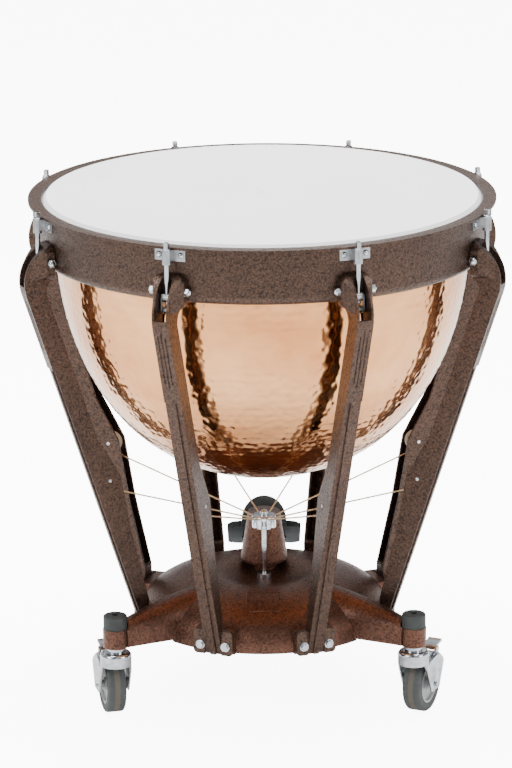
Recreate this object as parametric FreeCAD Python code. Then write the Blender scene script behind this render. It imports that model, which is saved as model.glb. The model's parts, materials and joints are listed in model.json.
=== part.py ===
import FreeCAD, Part
import math
import os

# Pedal timpani, millimetres. +Z is up, the origin is on the drum's axis at floor level.
# The front is -Y and the player's pedal is at +Y. Azimuths are counted from the front, towards +X.
# Each strut, rod, clip and cable is drawn in its own radial plane (x outwards, y across, z up)
# and then turned to its station.

# ---- bowl and head
LIP_RADIUS = 368.3         # the 29 inch bearing edge
LIP_TURN = 9.8             # how far the rim is turned out from the bowl's own wall
BOWL_DEPTH = 466.0
BOWL_ROUNDNESS = 2.25      # exponent of the superellipse: 2 is an ellipse, more is fuller
BOWL_WALL = 2.0
LIP_HEIGHT = 24.0
VENT_RADIUS = 14.0
FILM = 0.6
HEAD_TOP_Z = 884.6

# ---- support ring
RING_OVERHANG = 18.7       # ring's outside beyond the bearing edge
RING_HEIGHT = 74.0
RING_WALL = 6.0
RING_FILLET = 14.0
RING_TO_BOWL = 0.8

# ---- counterhoop and flesh hoop
SKIRT_CLEARANCE = 1.3      # hoop skirt round the support ring
SKIRT_WALL = 3.5
SKIRT_HEIGHT = 24.3
FLANGE_OVERHANG = 8.2      # flange beyond the skirt
FLANGE_WIDTH = 22.6
FLANGE_THICKNESS = 4.0
HOOP_DROP = 4.3            # flange top below the playing surface
FLESH_HEIGHT = 10.0
FLESH_WIDTH = 11.0
FLESH_TO_LIP = 2.7

# ---- tension rods, clips and clevises
STATIONS = 8
ROD_OFFSET = 7.0           # rod centre beyond the hoop flange
ROD_RADIUS = 4.0
RUNNING_FIT = 0.06         # radial clearance of shafts, pins and rods
BOLT_CLEARANCE = 0.1       # radial clearance of bolts and fixed pins
ROD_HEAD = 7.0             # across the flats of the square key head
ROD_HEAD_HEIGHT = 10.0
CLIP_HALF_WIDTH = 27.0
CLIP_THICKNESS = 2.2
SLEEVE_RADIUS = 7.6
BARREL_DROP = 83.3         # clevis barrel below the hoop flange top
CLEVIS_LENGTH = 21.0
CLEVIS_PLATE = 2.5

# ---- struts
STRUT_HALF_WIDTH = 14.5
STRUT_HEEL = 7.4           # strut's outer face beyond the foot's inner face
STRUT_DEPTH = 36.0
KNEE_RADIUS = 70.0
KNEE_BULGE = 30.0          # knee's outermost point beyond the rod
KNEE_DROP = 28.6           # knee's centre below the clevis barrel
CHEEK = 4.0
STRUT_WALL = 5.0
PAD_RADIUS = 34.0          # round pad that meets the support ring
PAD_HALF_WIDTH = 28.0
PAD_GAP = 0.5
CROSS_BOLT_RADIUS = 4.0
FOOT_THICKNESS = 9.0
FOOT_MARGIN = 13.0           # flange beyond its bolts
FOOT_HEIGHT = 43.0
FOOT_BOLT_INSET = 8.5        # bolt beside the strut's cheek
FOOT_BOLT_RISE = 15.0        # bolt above the base's underside
FOOT_BOLT_RADIUS = 3.2
RIB_HALF_WIDTH = 5.0

# ---- cables and pulleys
CABLE_RADIUS = 1.2
PULLEY_PITCH = 16.0        # cable centre line on the pulley
PULLEY_FLANGE = 2.5
PULLEY_HALF_WIDTH = 5.0
PULLEY_INSET = 32.5        # axle inside the strut's outer face
PULLEY_Z = 408.0
PULLEY_AXLE_RADIUS = 3.0
HUB_RADIUS = 21.0
HUB_CABLE_Z = 303.0

# ---- base casting
BASE_Z = 125.0
BASE_RADIUS = 217.0
DOME_RIM = 10.0
DOME_RIDGE_RADIUS = 95.0
DOME_RIDGE_Z = 204.0
DOME_CENTRE_Z = 192.0
DOME_CENTRE_RADIUS = 28.0
BASE_WALL = 6.0
FOOT_FACE_RADIUS = 222.0
ARM_AZIMUTH = 54.5
ARM_RADIUS = 314.0
REAR_ARM_RADIUS = 300.0
BOSS_RADIUS = 21.5
BOSS_BOTTOM_Z = 129.0
BOSS_TOP_Z = 162.0
REAR_BOSS_TOP_Z = 146.0
CAP_RADIUS = 20.5
CAP_HEIGHT = 24.0

# ---- pedal and linkage
TOWER_Y = 56.0
TOWER_TOP_Z = 296.0
TOWER_LIP_Z = 208.0
PULL_ROD_RADIUS = 4.0
ROCKER_PIVOT_Y = -152.0
ROCKER_PIVOT_Z = 145.0
ROCKER_END_Y = 152.0
ROCKER_END_Z = 168.0
ROCKER_HALF_WIDTH = 9.0
ROCKER_HALF_HEIGHT = 11.0
LINK_PIN_Z = 196.0
LINK_PLATE = 3.0
PIN_RADIUS = 4.0
PIN_PLAY = 1.4             # room for the rocker's and the pedal arm's arcs round the link pins
LINK_PLAY = 1.5            # how far the upper pin runs each way along the pedal arm's slot
PEDAL_Y = 252.0
PEDAL_Z = 180.0
PEDAL_ANGLE = 26.0         # treadle slope at rest, toe up
PEDAL_TOE = 113.0
PEDAL_HEEL = 148.0
PEDAL_HALF_WIDTH = 66.0
TOE_HALF_WIDTH = 40.0
TREADLE_THICKNESS = 8.0
TREADLE_RISE = 13.0        # underside above the shaft's centre
PAD_THICKNESS = 3.0
PEDAL_SHAFT_RADIUS = 6.0
PEDAL_EAR_INNER = 30.0
PEDAL_EAR_OUTER = 38.0

# ---- casters
WHEEL_RADIUS = 50.0
TYRE_DEPTH = 15.0
TYRE_HALF_WIDTH = 16.0
TRAIL = 35.0
FORK_INNER = 19.0
FORK_OUTER = 27.0
FORK_SHEET = 2.6
HOOD_CLEARANCE = 3.5
STEM_RADIUS = 8.0
CASTER_AXLE_RADIUS = 4.0
BRAKE_REACH = 7.15         # lever's pin outside the hood
BRAKE_ANGLE = 55.3         # where the pin stands on the hood, from level
BRAKE_HALF_WIDTH = 12.0
BRAKE_PIN_RADIUS = 2.0
CASTERS = {                # azimuth, radius, direction of trail from +X
    "left": (-ARM_AZIMUTH, ARM_RADIUS, 104.0),
    "right": (ARM_AZIMUTH, ARM_RADIUS, 65.0),
    "rear": (180.0, REAR_ARM_RADIUS, 160.0),
}

# ---- derived places
BOWL_RADIUS = LIP_RADIUS - LIP_TURN
HOOD_RADIUS = WHEEL_RADIUS + HOOD_CLEARANCE + FORK_SHEET
BRAKE_X = TRAIL + (HOOD_RADIUS + BRAKE_REACH) * math.cos(math.radians(BRAKE_ANGLE))
BRAKE_Z = WHEEL_RADIUS + (HOOD_RADIUS + BRAKE_REACH) * math.sin(math.radians(BRAKE_ANGLE))
RING_RADIUS = LIP_RADIUS + RING_OVERHANG
LIP_Z = HEAD_TOP_Z - FILM
RING_TOP_Z = LIP_Z - LIP_HEIGHT - BOWL_WALL
RING_BOTTOM_Z = RING_TOP_Z - RING_HEIGHT
FLANGE_TOP_Z = HEAD_TOP_Z - HOOP_DROP
SKIRT_TOP_Z = FLANGE_TOP_Z - FLANGE_THICKNESS
SKIRT_INNER = RING_RADIUS + SKIRT_CLEARANCE
SKIRT_OUTER = SKIRT_INNER + SKIRT_WALL
FLANGE_RADIUS = SKIRT_OUTER + FLANGE_OVERHANG
ROD_X = FLANGE_RADIUS + ROD_OFFSET
BARREL_Z = FLANGE_TOP_Z - BARREL_DROP
CLEVIS_Z = BARREL_Z - CLEVIS_LENGTH
STRUT_INNER_WIDTH = STRUT_HALF_WIDTH - CHEEK
FOOT_BOLT_SPREAD = STRUT_HALF_WIDTH + FOOT_BOLT_INSET
FOOT_HALF_WIDTH = FOOT_BOLT_SPREAD + FOOT_MARGIN
KNEE_X = ROD_X + KNEE_BULGE - KNEE_RADIUS
KNEE_Z = BARREL_Z - KNEE_DROP
FOOT_OUTER_X = FOOT_FACE_RADIUS + STRUT_HEEL
FOOT_Z = BASE_Z - 1.0
KNEE_REACH = math.hypot(KNEE_X - FOOT_OUTER_X, KNEE_Z - FOOT_Z)
STRUT_LEAN = math.atan2(KNEE_X - FOOT_OUTER_X, KNEE_Z - FOOT_Z) + math.asin(KNEE_RADIUS / KNEE_REACH)
STRUT_SLOPE = math.tan(STRUT_LEAN)
STRUT_BACK = math.hypot(1.0, STRUT_SLOPE)
KNEE_START_X = KNEE_X + KNEE_RADIUS / STRUT_BACK
KNEE_START_Z = KNEE_Z - KNEE_RADIUS * STRUT_SLOPE / STRUT_BACK
PULLEY_X = KNEE_START_X + STRUT_SLOPE * (PULLEY_Z - KNEE_START_Z) - PULLEY_INSET
PAD_X = RING_RADIUS + PAD_GAP
PAD_Z = BARREL_Z + 7.0
CROSS_BOLT_X = PAD_X + 7.0
CROSS_BOLT_Z = PAD_Z + 2.0
HEAD_BLOCK_X = CROSS_BOLT_X + CROSS_BOLT_RADIUS + 1.0


def station_angle(number):
    return 22.5 + 45.0 * number


def turned(shape, azimuth):
    """Turn a shape drawn with +X outwards to its azimuth."""
    copy = shape.copy()
    copy.rotate(FreeCAD.Vector(0, 0, 0), FreeCAD.Vector(0, 0, 1), azimuth - 90.0)
    return copy


def at_stations(shape):
    return [turned(shape, station_angle(number)) for number in range(STATIONS)]


def save(name, solids):
    """Write one node: a single solid or a group of separate solids."""
    if not isinstance(solids, list):
        solids = [solids]
    for solid in solids:
        if not solid.isValid() or not solid.Solids:
            raise RuntimeError("bad solid in " + name)
    shape = solids[0] if len(solids) == 1 else Part.makeCompound(solids)
    shape.exportStep("parts/" + name + ".step")


def box(x0, x1, y0, y1, z0, z1):
    return Part.makeBox(x1 - x0, y1 - y0, z1 - z0, FreeCAD.Vector(x0, y0, z0))


def post(x, y, z0, z1, radius):
    """Upright round bar."""
    return Part.makeCylinder(radius, z1 - z0, FreeCAD.Vector(x, y, z0))


def bar_x(x0, x1, y, z, radius):
    """Round bar along X."""
    return Part.makeCylinder(radius, x1 - x0, FreeCAD.Vector(x0, y, z), FreeCAD.Vector(1, 0, 0))


def bar_y(x, y0, y1, z, radius):
    """Round bar along Y."""
    return Part.makeCylinder(radius, y1 - y0, FreeCAD.Vector(x, y0, z), FreeCAD.Vector(0, 1, 0))


def plate_xz(points, y0, y1):
    """Flat plate with its outline in the XZ plane."""
    corners = [FreeCAD.Vector(x, y0, z) for x, z in points]
    face = Part.Face(Part.makePolygon(corners + corners[:1]))
    return face.extrude(FreeCAD.Vector(0, y1 - y0, 0))


def plate_yz(points, x0, x1):
    """Flat plate with its outline in the YZ plane."""
    corners = [FreeCAD.Vector(x0, y, z) for y, z in points]
    face = Part.Face(Part.makePolygon(corners + corners[:1]))
    return face.extrude(FreeCAD.Vector(x1 - x0, 0, 0))


def plate_xy(points, z0, z1):
    """Flat plate with its outline in the XY plane."""
    corners = [FreeCAD.Vector(x, y, z0) for x, y in points]
    face = Part.Face(Part.makePolygon(corners + corners[:1]))
    return face.extrude(FreeCAD.Vector(0, 0, z1 - z0))


def upright_edges(solid):
    return [edge for edge in solid.Edges if edge.BoundBox.XLength < 0.1 and edge.BoundBox.YLength < 0.1]


def line(start, end):
    return Part.makeLine(FreeCAD.Vector(start[0], 0, start[1]), FreeCAD.Vector(end[0], 0, end[1]))


def arc(start, middle, end):
    points = [FreeCAD.Vector(p[0], 0, p[1]) for p in (start, middle, end)]
    return Part.Arc(*points).toShape()


def curve(points):
    spline = Part.BSplineCurve()
    spline.interpolate([FreeCAD.Vector(x, 0, z) for x, z in points])
    return spline.toShape()


def revolved(edges):
    """Turn a closed outline in the XZ plane about the Z axis."""
    face = Part.Face(Part.Wire(edges))
    return face.revolve(FreeCAD.Vector(0, 0, 0), FreeCAD.Vector(0, 0, 1), 360)


def ring(inner, outer, z0, z1):
    return post(0, 0, z0, z1, outer).cut(post(0, 0, z0 - 1, z1 + 1, inner))


# ---------------------------------------------------------------- bowl, head and hoops

def bowl_curve(inset, steps=14):
    """Superellipse from the ring down to the vent hole, top first."""
    radius = BOWL_RADIUS - inset
    depth = BOWL_DEPTH - inset
    power = 2.0 / BOWL_ROUNDNESS
    last = math.acos((VENT_RADIUS / radius) ** (1.0 / power))
    points = []
    for step in range(steps + 1):
        angle = last * step / steps
        drop = depth * math.sin(angle) ** power
        points.append((radius * math.cos(angle) ** power, RING_TOP_Z - drop))
    return points


def make_bowl():
    outer = bowl_curve(0.0)
    inner = bowl_curve(BOWL_WALL)
    inner_lip = LIP_RADIUS - BOWL_WALL
    shoulder = RING_TOP_Z + BOWL_WALL
    top = LIP_Z - BOWL_WALL / 2
    edges = [
        curve(outer),
        line(outer[-1], inner[-1]),
        curve(inner),
        line(inner[0], (inner[0][0], shoulder)),
        line((inner[0][0], shoulder), (inner_lip, shoulder)),
        line((inner_lip, shoulder), (inner_lip, top)),
        arc((inner_lip, top), (LIP_RADIUS - BOWL_WALL / 2, LIP_Z), (LIP_RADIUS, top)),
        line((LIP_RADIUS, top), (LIP_RADIUS, RING_TOP_Z)),
        line((LIP_RADIUS, RING_TOP_Z), outer[0]),
    ]
    return revolved(edges)


def make_head():
    inner = LIP_RADIUS + 0.2
    disc = post(0, 0, LIP_Z, HEAD_TOP_Z, inner + FILM)
    collar = ring(inner, inner + FILM, RING_TOP_Z + BOWL_WALL, LIP_Z)
    return disc.fuse(collar).removeSplitter()


def make_flesh_hoop():
    inner = LIP_RADIUS + FLESH_TO_LIP
    hoop = ring(inner, inner + FLESH_WIDTH, SKIRT_TOP_Z - FLESH_HEIGHT, SKIRT_TOP_Z)
    low = [edge for edge in hoop.Edges if edge.BoundBox.ZMax < SKIRT_TOP_Z - FLESH_HEIGHT + 0.1]
    return hoop.makeFillet(2.0, [edge for edge in low if edge.Length > inner])


def make_counterhoop():
    flange = ring(FLANGE_RADIUS - FLANGE_WIDTH, FLANGE_RADIUS, SKIRT_TOP_Z, FLANGE_TOP_Z)
    skirt = ring(SKIRT_INNER, SKIRT_OUTER, SKIRT_TOP_Z - SKIRT_HEIGHT, SKIRT_TOP_Z)
    return flange.fuse(skirt).removeSplitter()


def make_support_ring():
    inner = BOWL_RADIUS + RING_TO_BOWL
    wall = RING_RADIUS - RING_WALL
    shelf = RING_TOP_Z - RING_WALL
    floor = RING_BOTTOM_Z + RING_WALL
    bend = RING_FILLET * (1.0 - math.sqrt(0.5))
    inner_bend = (RING_FILLET - RING_WALL) * (1.0 - math.sqrt(0.5))
    edges = [
        line((inner, RING_TOP_Z), (RING_RADIUS, RING_TOP_Z)),
        line((RING_RADIUS, RING_TOP_Z), (RING_RADIUS, RING_BOTTOM_Z + RING_FILLET)),
        arc((RING_RADIUS, RING_BOTTOM_Z + RING_FILLET), (RING_RADIUS - bend, RING_BOTTOM_Z + bend),
            (RING_RADIUS - RING_FILLET, RING_BOTTOM_Z)),
        line((RING_RADIUS - RING_FILLET, RING_BOTTOM_Z), (inner, RING_BOTTOM_Z)),
        line((inner, RING_BOTTOM_Z), (inner, floor)),
        line((inner, floor), (RING_RADIUS - RING_FILLET, floor)),
        arc((RING_RADIUS - RING_FILLET, floor), (wall - inner_bend, floor + inner_bend),
            (wall, RING_BOTTOM_Z + RING_FILLET)),
        line((wall, RING_BOTTOM_Z + RING_FILLET), (wall, shelf)),
        line((wall, shelf), (inner, shelf)),
        line((inner, shelf), (inner, RING_TOP_Z)),
    ]
    body = revolved(edges)
    tang = box(wall, HEAD_BLOCK_X - 1.0, -8, 8, PAD_Z - 10, PAD_Z + 14)
    tang = tang.cut(bar_y(CROSS_BOLT_X, -20, 20, CROSS_BOLT_Z, CROSS_BOLT_RADIUS + BOLT_CLEARANCE))
    for piece in at_stations(tang):
        body = body.fuse(piece)
    return body.removeSplitter()


# ---------------------------------------------------------------- struts

def strut_outer_x(z):
    """Outer face of a strut below its knee."""
    return KNEE_START_X + STRUT_SLOPE * (z - KNEE_START_Z)


def strut_outline():
    """Closed side outline: outer line, knee arc, pad face, inner line with the pulley bulge."""
    top_angle = math.acos((PAD_X - KNEE_X) / KNEE_RADIUS)
    start_angle = -math.atan(STRUT_SLOPE)
    middle_angle = (top_angle + start_angle) / 2

    def on_knee(angle):
        return (KNEE_X + KNEE_RADIUS * math.cos(angle), KNEE_Z + KNEE_RADIUS * math.sin(angle))

    inner_top_z = PAD_Z - PAD_RADIUS - 25.0
    pad_low = (PAD_X, PAD_Z - PAD_RADIUS + 2.0)
    inner_top = (strut_outer_x(inner_top_z) - STRUT_DEPTH, inner_top_z)
    throat = (PAD_X + 9.5, (pad_low[1] + inner_top_z) / 2 + 4.0)
    bulge_top_z = PULLEY_Z + 79.0
    bulge_top = (strut_outer_x(bulge_top_z) - STRUT_DEPTH, bulge_top_z)
    bulge = (PULLEY_X - 19.0, PULLEY_Z + 8.0)
    bulge_low = (PULLEY_X - 39.0, PULLEY_Z - 102.0)
    heel = (FOOT_FACE_RADIUS, BASE_Z + 61.0)
    foot = (FOOT_FACE_RADIUS, FOOT_Z)
    foot_outer = (FOOT_OUTER_X, FOOT_Z)
    start = on_knee(start_angle)
    return [
        line(foot_outer, start),
        arc(start, on_knee(middle_angle), on_knee(top_angle)),
        line(on_knee(top_angle), pad_low),
        arc(pad_low, throat, inner_top),
        line(inner_top, bulge_top),
        line(bulge_top, bulge),
        line(bulge, bulge_low),
        line(bulge_low, heel),
        line(heel, foot),
        line(foot, foot_outer),
    ]


def extruded_y(edges, half_width):
    face = Part.Face(Part.Wire(edges))
    face.translate(FreeCAD.Vector(0, -half_width, 0))
    return face.extrude(FreeCAD.Vector(0, 2 * half_width, 0))


def sloped_cut(inset, depth, y0, y1, z0, z1):
    """Block along the outer face: from `inset` inside it to `depth` further out."""
    points = []
    for z, offset in ((z0, -inset), (z1, -inset), (z1, depth), (z0, depth)):
        points.append((strut_outer_x(z) + offset, z))
    return plate_xz(points, y0, y1)


def groove(y, z0, z1):
    """One engraved groove with pointed ends on the outer face."""
    half = 1.6
    body = sloped_cut(1.5, 3.0, y - half, y + half, z0 + half, z1 - half)
    tips = []
    for end, tip in ((z0 + half, z0 - half), (z1 - half, z1 + half)):
        x = strut_outer_x(end)
        for side in (-half, half):
            corners = [FreeCAD.Vector(x - 1.5, y - half, end), FreeCAD.Vector(x - 1.5, y + half, end),
                       FreeCAD.Vector(strut_outer_x(tip) - 1.5, y + side, tip)]
            face = Part.Face(Part.makePolygon(corners + corners[:1]))
            tips.append(face.extrude(FreeCAD.Vector(4.5, 0, 0)))
    return [body] + tips


def make_strut():
    body = extruded_y(strut_outline(), STRUT_HALF_WIDTH)
    # the pad that meets the ring, flared out from the cheeks
    pad = bar_x(PAD_X, PAD_X + 40, 0, PAD_Z, PAD_RADIUS)
    flare_end = PAD_X + 40
    wedge = plate_xy([(PAD_X, -PAD_HALF_WIDTH), (HEAD_BLOCK_X + 2, -PAD_HALF_WIDTH),
                      (flare_end, -STRUT_HALF_WIDTH), (flare_end, STRUT_HALF_WIDTH),
                      (HEAD_BLOCK_X + 2, PAD_HALF_WIDTH), (PAD_X, PAD_HALF_WIDTH)],
                     PAD_Z - PAD_RADIUS, PAD_Z + PAD_RADIUS)
    knee = bar_y(KNEE_X, -PAD_RADIUS, PAD_RADIUS, KNEE_Z, KNEE_RADIUS)
    body = body.fuse(pad.common(wedge).common(knee))
    # the foot flange
    foot = box(FOOT_FACE_RADIUS, FOOT_FACE_RADIUS + FOOT_THICKNESS, -FOOT_HALF_WIDTH, FOOT_HALF_WIDTH,
               FOOT_Z, FOOT_Z + FOOT_HEIGHT)
    upright = [edge for edge in foot.Edges
               if abs(edge.BoundBox.YLength) < 0.1 and abs(edge.BoundBox.ZLength) < 0.1]
    body = body.fuse(foot.makeFillet(7.0, upright))
    # the channel, open towards the drum's axis
    channel_low = BASE_Z + 66.0
    channel_high = KNEE_START_Z
    channel = sloped_cut(120.0, -STRUT_WALL, -STRUT_INNER_WIDTH, STRUT_INNER_WIDTH,
                         channel_low, channel_high)
    body = body.cut(channel)
    # the window for rod and clevis, open at the top of the knee
    knee_inner = bar_y(KNEE_X, -STRUT_INNER_WIDTH, STRUT_INNER_WIDTH, KNEE_Z, KNEE_RADIUS - STRUT_WALL)
    front_space = box(HEAD_BLOCK_X, ROD_X + 60, -STRUT_INNER_WIDTH, STRUT_INNER_WIDTH,
                      KNEE_START_Z - 1, KNEE_Z + KNEE_RADIUS)
    body = body.cut(knee_inner.common(front_space))
    window = box(HEAD_BLOCK_X, ROD_X + 60, -STRUT_INNER_WIDTH, STRUT_INNER_WIDTH,
                 KNEE_Z - 5.0, KNEE_Z + KNEE_RADIUS + 10)
    body = body.cut(window)
    # slot for the ring's tang, cross bolt and set screw holes
    body = body.cut(box(PAD_X - 1, HEAD_BLOCK_X, -8.3, 8.3, PAD_Z - PAD_RADIUS - 40, PAD_Z + 14.5))
    body = body.cut(bar_y(CROSS_BOLT_X, -60, 60, CROSS_BOLT_Z, CROSS_BOLT_RADIUS + BOLT_CLEARANCE))
    # outer corners step in below the grooves and leave a rib
    rib_top = KNEE_START_Z - 133.0
    for side in (-1, 1):
        inner_edge = side * RIB_HALF_WIDTH
        outer_edge = side * (STRUT_HALF_WIDTH + 1)
        low, high = sorted((inner_edge, outer_edge))
        step = sloped_cut(3.0, 6.0, low, high, BASE_Z - 2, rib_top)
        body = body.cut(step)
    for piece in groove(0.0, KNEE_START_Z - 104.0, KNEE_START_Z - 2.0):
        body = body.cut(piece)
    for side in (-6.4, 6.4):
        for piece in groove(side, KNEE_START_Z - 96.0, KNEE_START_Z - 12.0):
            body = body.cut(piece)
    # pulley axle and foot bolt holes
    body = body.cut(bar_y(PULLEY_X, -40, 40, PULLEY_Z, PULLEY_AXLE_RADIUS + BOLT_CLEARANCE))
    for side in (-FOOT_BOLT_SPREAD, FOOT_BOLT_SPREAD):
        body = body.cut(bar_x(FOOT_FACE_RADIUS - 5, FOOT_FACE_RADIUS + 40, side,
                              BASE_Z + FOOT_BOLT_RISE, FOOT_BOLT_RADIUS + BOLT_CLEARANCE))
    return body.removeSplitter()


def hexagon_bar(x, z, y0, y1, across):
    """Hexagonal bar along Y."""
    radius = across / math.sqrt(3)
    points = []
    for corner in range(6):
        angle = math.radians(60 * corner)
        points.append((x + radius * math.cos(angle), z + radius * math.sin(angle)))
    return plate_xz(points, y0, y1)


def make_top_bolt():
    """Cross bolt with a domed nut at each end, and the set screw below it."""
    z = CROSS_BOLT_Z
    shank = bar_y(CROSS_BOLT_X, -PAD_HALF_WIDTH - 6, PAD_HALF_WIDTH + 6, z, CROSS_BOLT_RADIUS)
    pieces = [shank]
    for side in (-1, 1):
        low, high = sorted((side * PAD_HALF_WIDTH, side * (PAD_HALF_WIDTH + 6)))
        nut = hexagon_bar(CROSS_BOLT_X, z, low, high, 13.0)
        dome = Part.makeSphere(6.0, FreeCAD.Vector(CROSS_BOLT_X, side * (PAD_HALF_WIDTH + 4.2), z))
        pieces.append(nut.fuse(dome.common(hexagon_bar(CROSS_BOLT_X, z, low - 8, high + 8, 13.0)
                                           .cut(box(0, 900, -PAD_HALF_WIDTH, PAD_HALF_WIDTH, 0, 900)))))
    bolt = pieces[0].fuse(pieces[1:])
    return bolt.removeSplitter()


def make_foot_bolt(side):
    y = side * FOOT_BOLT_SPREAD
    z = BASE_Z + FOOT_BOLT_RISE
    face = FOOT_FACE_RADIUS + FOOT_THICKNESS
    shank = bar_x(FOOT_FACE_RADIUS - 12, face, y, z, FOOT_BOLT_RADIUS)
    washer = bar_x(face, face + 1.5, y, z, 8.0)
    head = hexagon_bar(0, 0, 0, 5.0, 11.0)
    head.rotate(FreeCAD.Vector(0, 0, 0), FreeCAD.Vector(0, 0, 1), -90)
    head.translate(FreeCAD.Vector(face + 1.5, y, z))
    return shank.fuse([washer, head]).removeSplitter()


# ---------------------------------------------------------------- rods, clips and clevises

def make_rod():
    head_z = SKIRT_TOP_Z
    shank = post(ROD_X, 0, BARREL_Z - 10, head_z, ROD_RADIUS)
    collar = post(ROD_X, 0, head_z, head_z + 3, ROD_OFFSET - 0.5)
    half = ROD_HEAD / 2
    square = box(ROD_X - half, ROD_X + half, -half, half, head_z + 3, head_z + 3 + ROD_HEAD_HEIGHT)
    return shank.fuse([collar, square]).removeSplitter()


def make_clip():
    low = SKIRT_TOP_Z - 20
    high = SKIRT_TOP_Z - 0.4
    plate_x = SKIRT_OUTER + CLIP_THICKNESS
    outer = post(0, 0, low, high, plate_x)
    plate = outer.cut(post(0, 0, low - 1, high + 1, SKIRT_OUTER))
    plate = plate.common(box(0, plate_x + 1, -CLIP_HALF_WIDTH, CLIP_HALF_WIDTH, low, high))
    web = box(SKIRT_OUTER + 0.5, ROD_X, -SLEEVE_RADIUS, SLEEVE_RADIUS, low + 2, high)
    sleeve = post(ROD_X, 0, low - 3, SKIRT_TOP_Z, SLEEVE_RADIUS)
    body = plate.fuse([web, sleeve])
    body = body.cut(post(ROD_X, 0, low - 9, high + 9, ROD_RADIUS + RUNNING_FIT))
    for side in (-1, 1):
        body = body.cut(bar_x(SKIRT_OUTER - 5, ROD_X + 9, side * 19.0, low + 10, 2.6))
    return body.removeSplitter()


def make_clip_screw(side):
    y = side * 19.0
    z = SKIRT_TOP_Z - 10
    plate_x = SKIRT_OUTER + CLIP_THICKNESS
    head = Part.makeSphere(6.0, FreeCAD.Vector(plate_x - 3.2, y, z))
    head = head.common(box(plate_x + 0.05, plate_x + 9, y - 9, y + 9, z - 9, z + 9))
    return head.fuse(bar_x(plate_x - 1.2, plate_x + 0.1, y, z, 2.4)).removeSplitter()


def make_barrel_nut():
    body = bar_y(ROD_X, -5.8, 5.8, BARREL_Z, 7.0)
    body = body.fuse(bar_y(ROD_X, -9.4, 9.4, BARREL_Z, 4.4))
    return body.cut(post(ROD_X, 0, BARREL_Z - 12, BARREL_Z + 12, ROD_RADIUS + RUNNING_FIT)).removeSplitter()


def make_link_plate(side):
    inner = 6.0
    low, high = sorted((side * inner, side * (inner + CLEVIS_PLATE)))
    middle = box(ROD_X - 6.5, ROD_X + 6.5, low, high, CLEVIS_Z, BARREL_Z)
    plate = middle.fuse([bar_y(ROD_X, low, high, BARREL_Z, 6.5), bar_y(ROD_X, low, high, CLEVIS_Z, 6.5)])
    plate = plate.cut(bar_y(ROD_X, -20, 20, BARREL_Z, 4.4 + RUNNING_FIT))
    return plate.cut(bar_y(ROD_X, -20, 20, CLEVIS_Z, 3.0 + RUNNING_FIT)).removeSplitter()


def make_clevis_pin():
    pin = bar_y(ROD_X, -8.6, 9.8, CLEVIS_Z, 3.0)
    return pin.fuse(bar_y(ROD_X, -9.9, -8.6, CLEVIS_Z, 4.6)).removeSplitter()


# ---------------------------------------------------------------- cables and pulleys

def cable_points():
    """Tangent points of the cable: hub end, under the pulley, outside the pulley, clevis."""
    hub = (HUB_RADIUS + 0.5, HUB_CABLE_Z)
    clevis = (ROD_X, CLEVIS_Z)
    reach = math.hypot(PULLEY_X - hub[0], PULLEY_Z - hub[1])
    low_angle = math.atan2(PULLEY_Z - hub[1], PULLEY_X - hub[0]) - math.asin(PULLEY_PITCH / reach)
    rise = math.hypot(clevis[0] - PULLEY_X, clevis[1] - PULLEY_Z)
    high_angle = math.atan2(clevis[1] - PULLEY_Z, clevis[0] - PULLEY_X) + math.asin(PULLEY_PITCH / rise)

    def on_pulley(angle):
        return (PULLEY_X + PULLEY_PITCH * math.sin(angle), PULLEY_Z - PULLEY_PITCH * math.cos(angle))

    under = on_pulley(low_angle)
    outside = on_pulley(high_angle)
    middle = on_pulley((low_angle + high_angle) / 2)
    return hub, under, middle, outside, clevis, high_angle


def make_cable():
    hub, under, middle, outside, clevis, angle = cable_points()
    end_gap = 12.0
    top = (clevis[0] - end_gap * math.cos(angle), clevis[1] - end_gap * math.sin(angle))
    path = Part.Wire([line(hub, under), arc(under, middle, outside), line(outside, top)])
    direction = FreeCAD.Vector(under[0] - hub[0], 0, under[1] - hub[1])
    circle = Part.makeCircle(CABLE_RADIUS, FreeCAD.Vector(hub[0], 0, hub[1]), direction)
    return path.makePipeShell([Part.Wire(circle)], True, False)


def make_cable_eye():
    """Eye on the clevis pin with the ferrule that takes the cable's end."""
    angle = cable_points()[5]
    direction = FreeCAD.Vector(-math.cos(angle), 0, -math.sin(angle))
    centre = FreeCAD.Vector(ROD_X, 0, CLEVIS_Z)
    eye = bar_y(ROD_X, -4.0, 4.0, CLEVIS_Z, 6.2)
    ferrule = Part.makeCylinder(3.2, 26, centre + direction * 4.6, direction)
    body = eye.fuse(ferrule)
    body = body.cut(Part.makeCylinder(CABLE_RADIUS + 0.25, 30, centre + direction * 5.4, direction))
    return body.cut(bar_y(ROD_X, -9, 9, CLEVIS_Z, 3.0 + RUNNING_FIT))


def make_pulley():
    rim = PULLEY_PITCH + PULLEY_FLANGE
    root = PULLEY_PITCH - CABLE_RADIUS - 0.1
    half = PULLEY_HALF_WIDTH
    body = bar_y(PULLEY_X, -half, half, PULLEY_Z, rim)
    start = FreeCAD.Vector(PULLEY_X, 0, PULLEY_Z)
    flat = CABLE_RADIUS + 0.3
    along = FreeCAD.Vector(0, 1, 0)
    near = Part.makeCone(rim + 0.5, root, half - 1 - flat, start + along * (1 - half), along)
    far = Part.makeCone(root, rim + 0.5, half - 1 - flat, start + along * flat, along)
    core = bar_y(PULLEY_X, -flat - 0.5, flat + 0.5, PULLEY_Z, root).fuse([near, far])
    band = bar_y(PULLEY_X, 1 - half, half - 1, PULLEY_Z, rim + 2)
    body = body.cut(band.cut(core))
    return body.cut(bar_y(PULLEY_X, -20, 20, PULLEY_Z, PULLEY_AXLE_RADIUS + RUNNING_FIT)).removeSplitter()


def make_pulley_axle():
    half = STRUT_HALF_WIDTH + 0.6
    return bar_y(PULLEY_X, -half, half, PULLEY_Z, PULLEY_AXLE_RADIUS)


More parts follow.
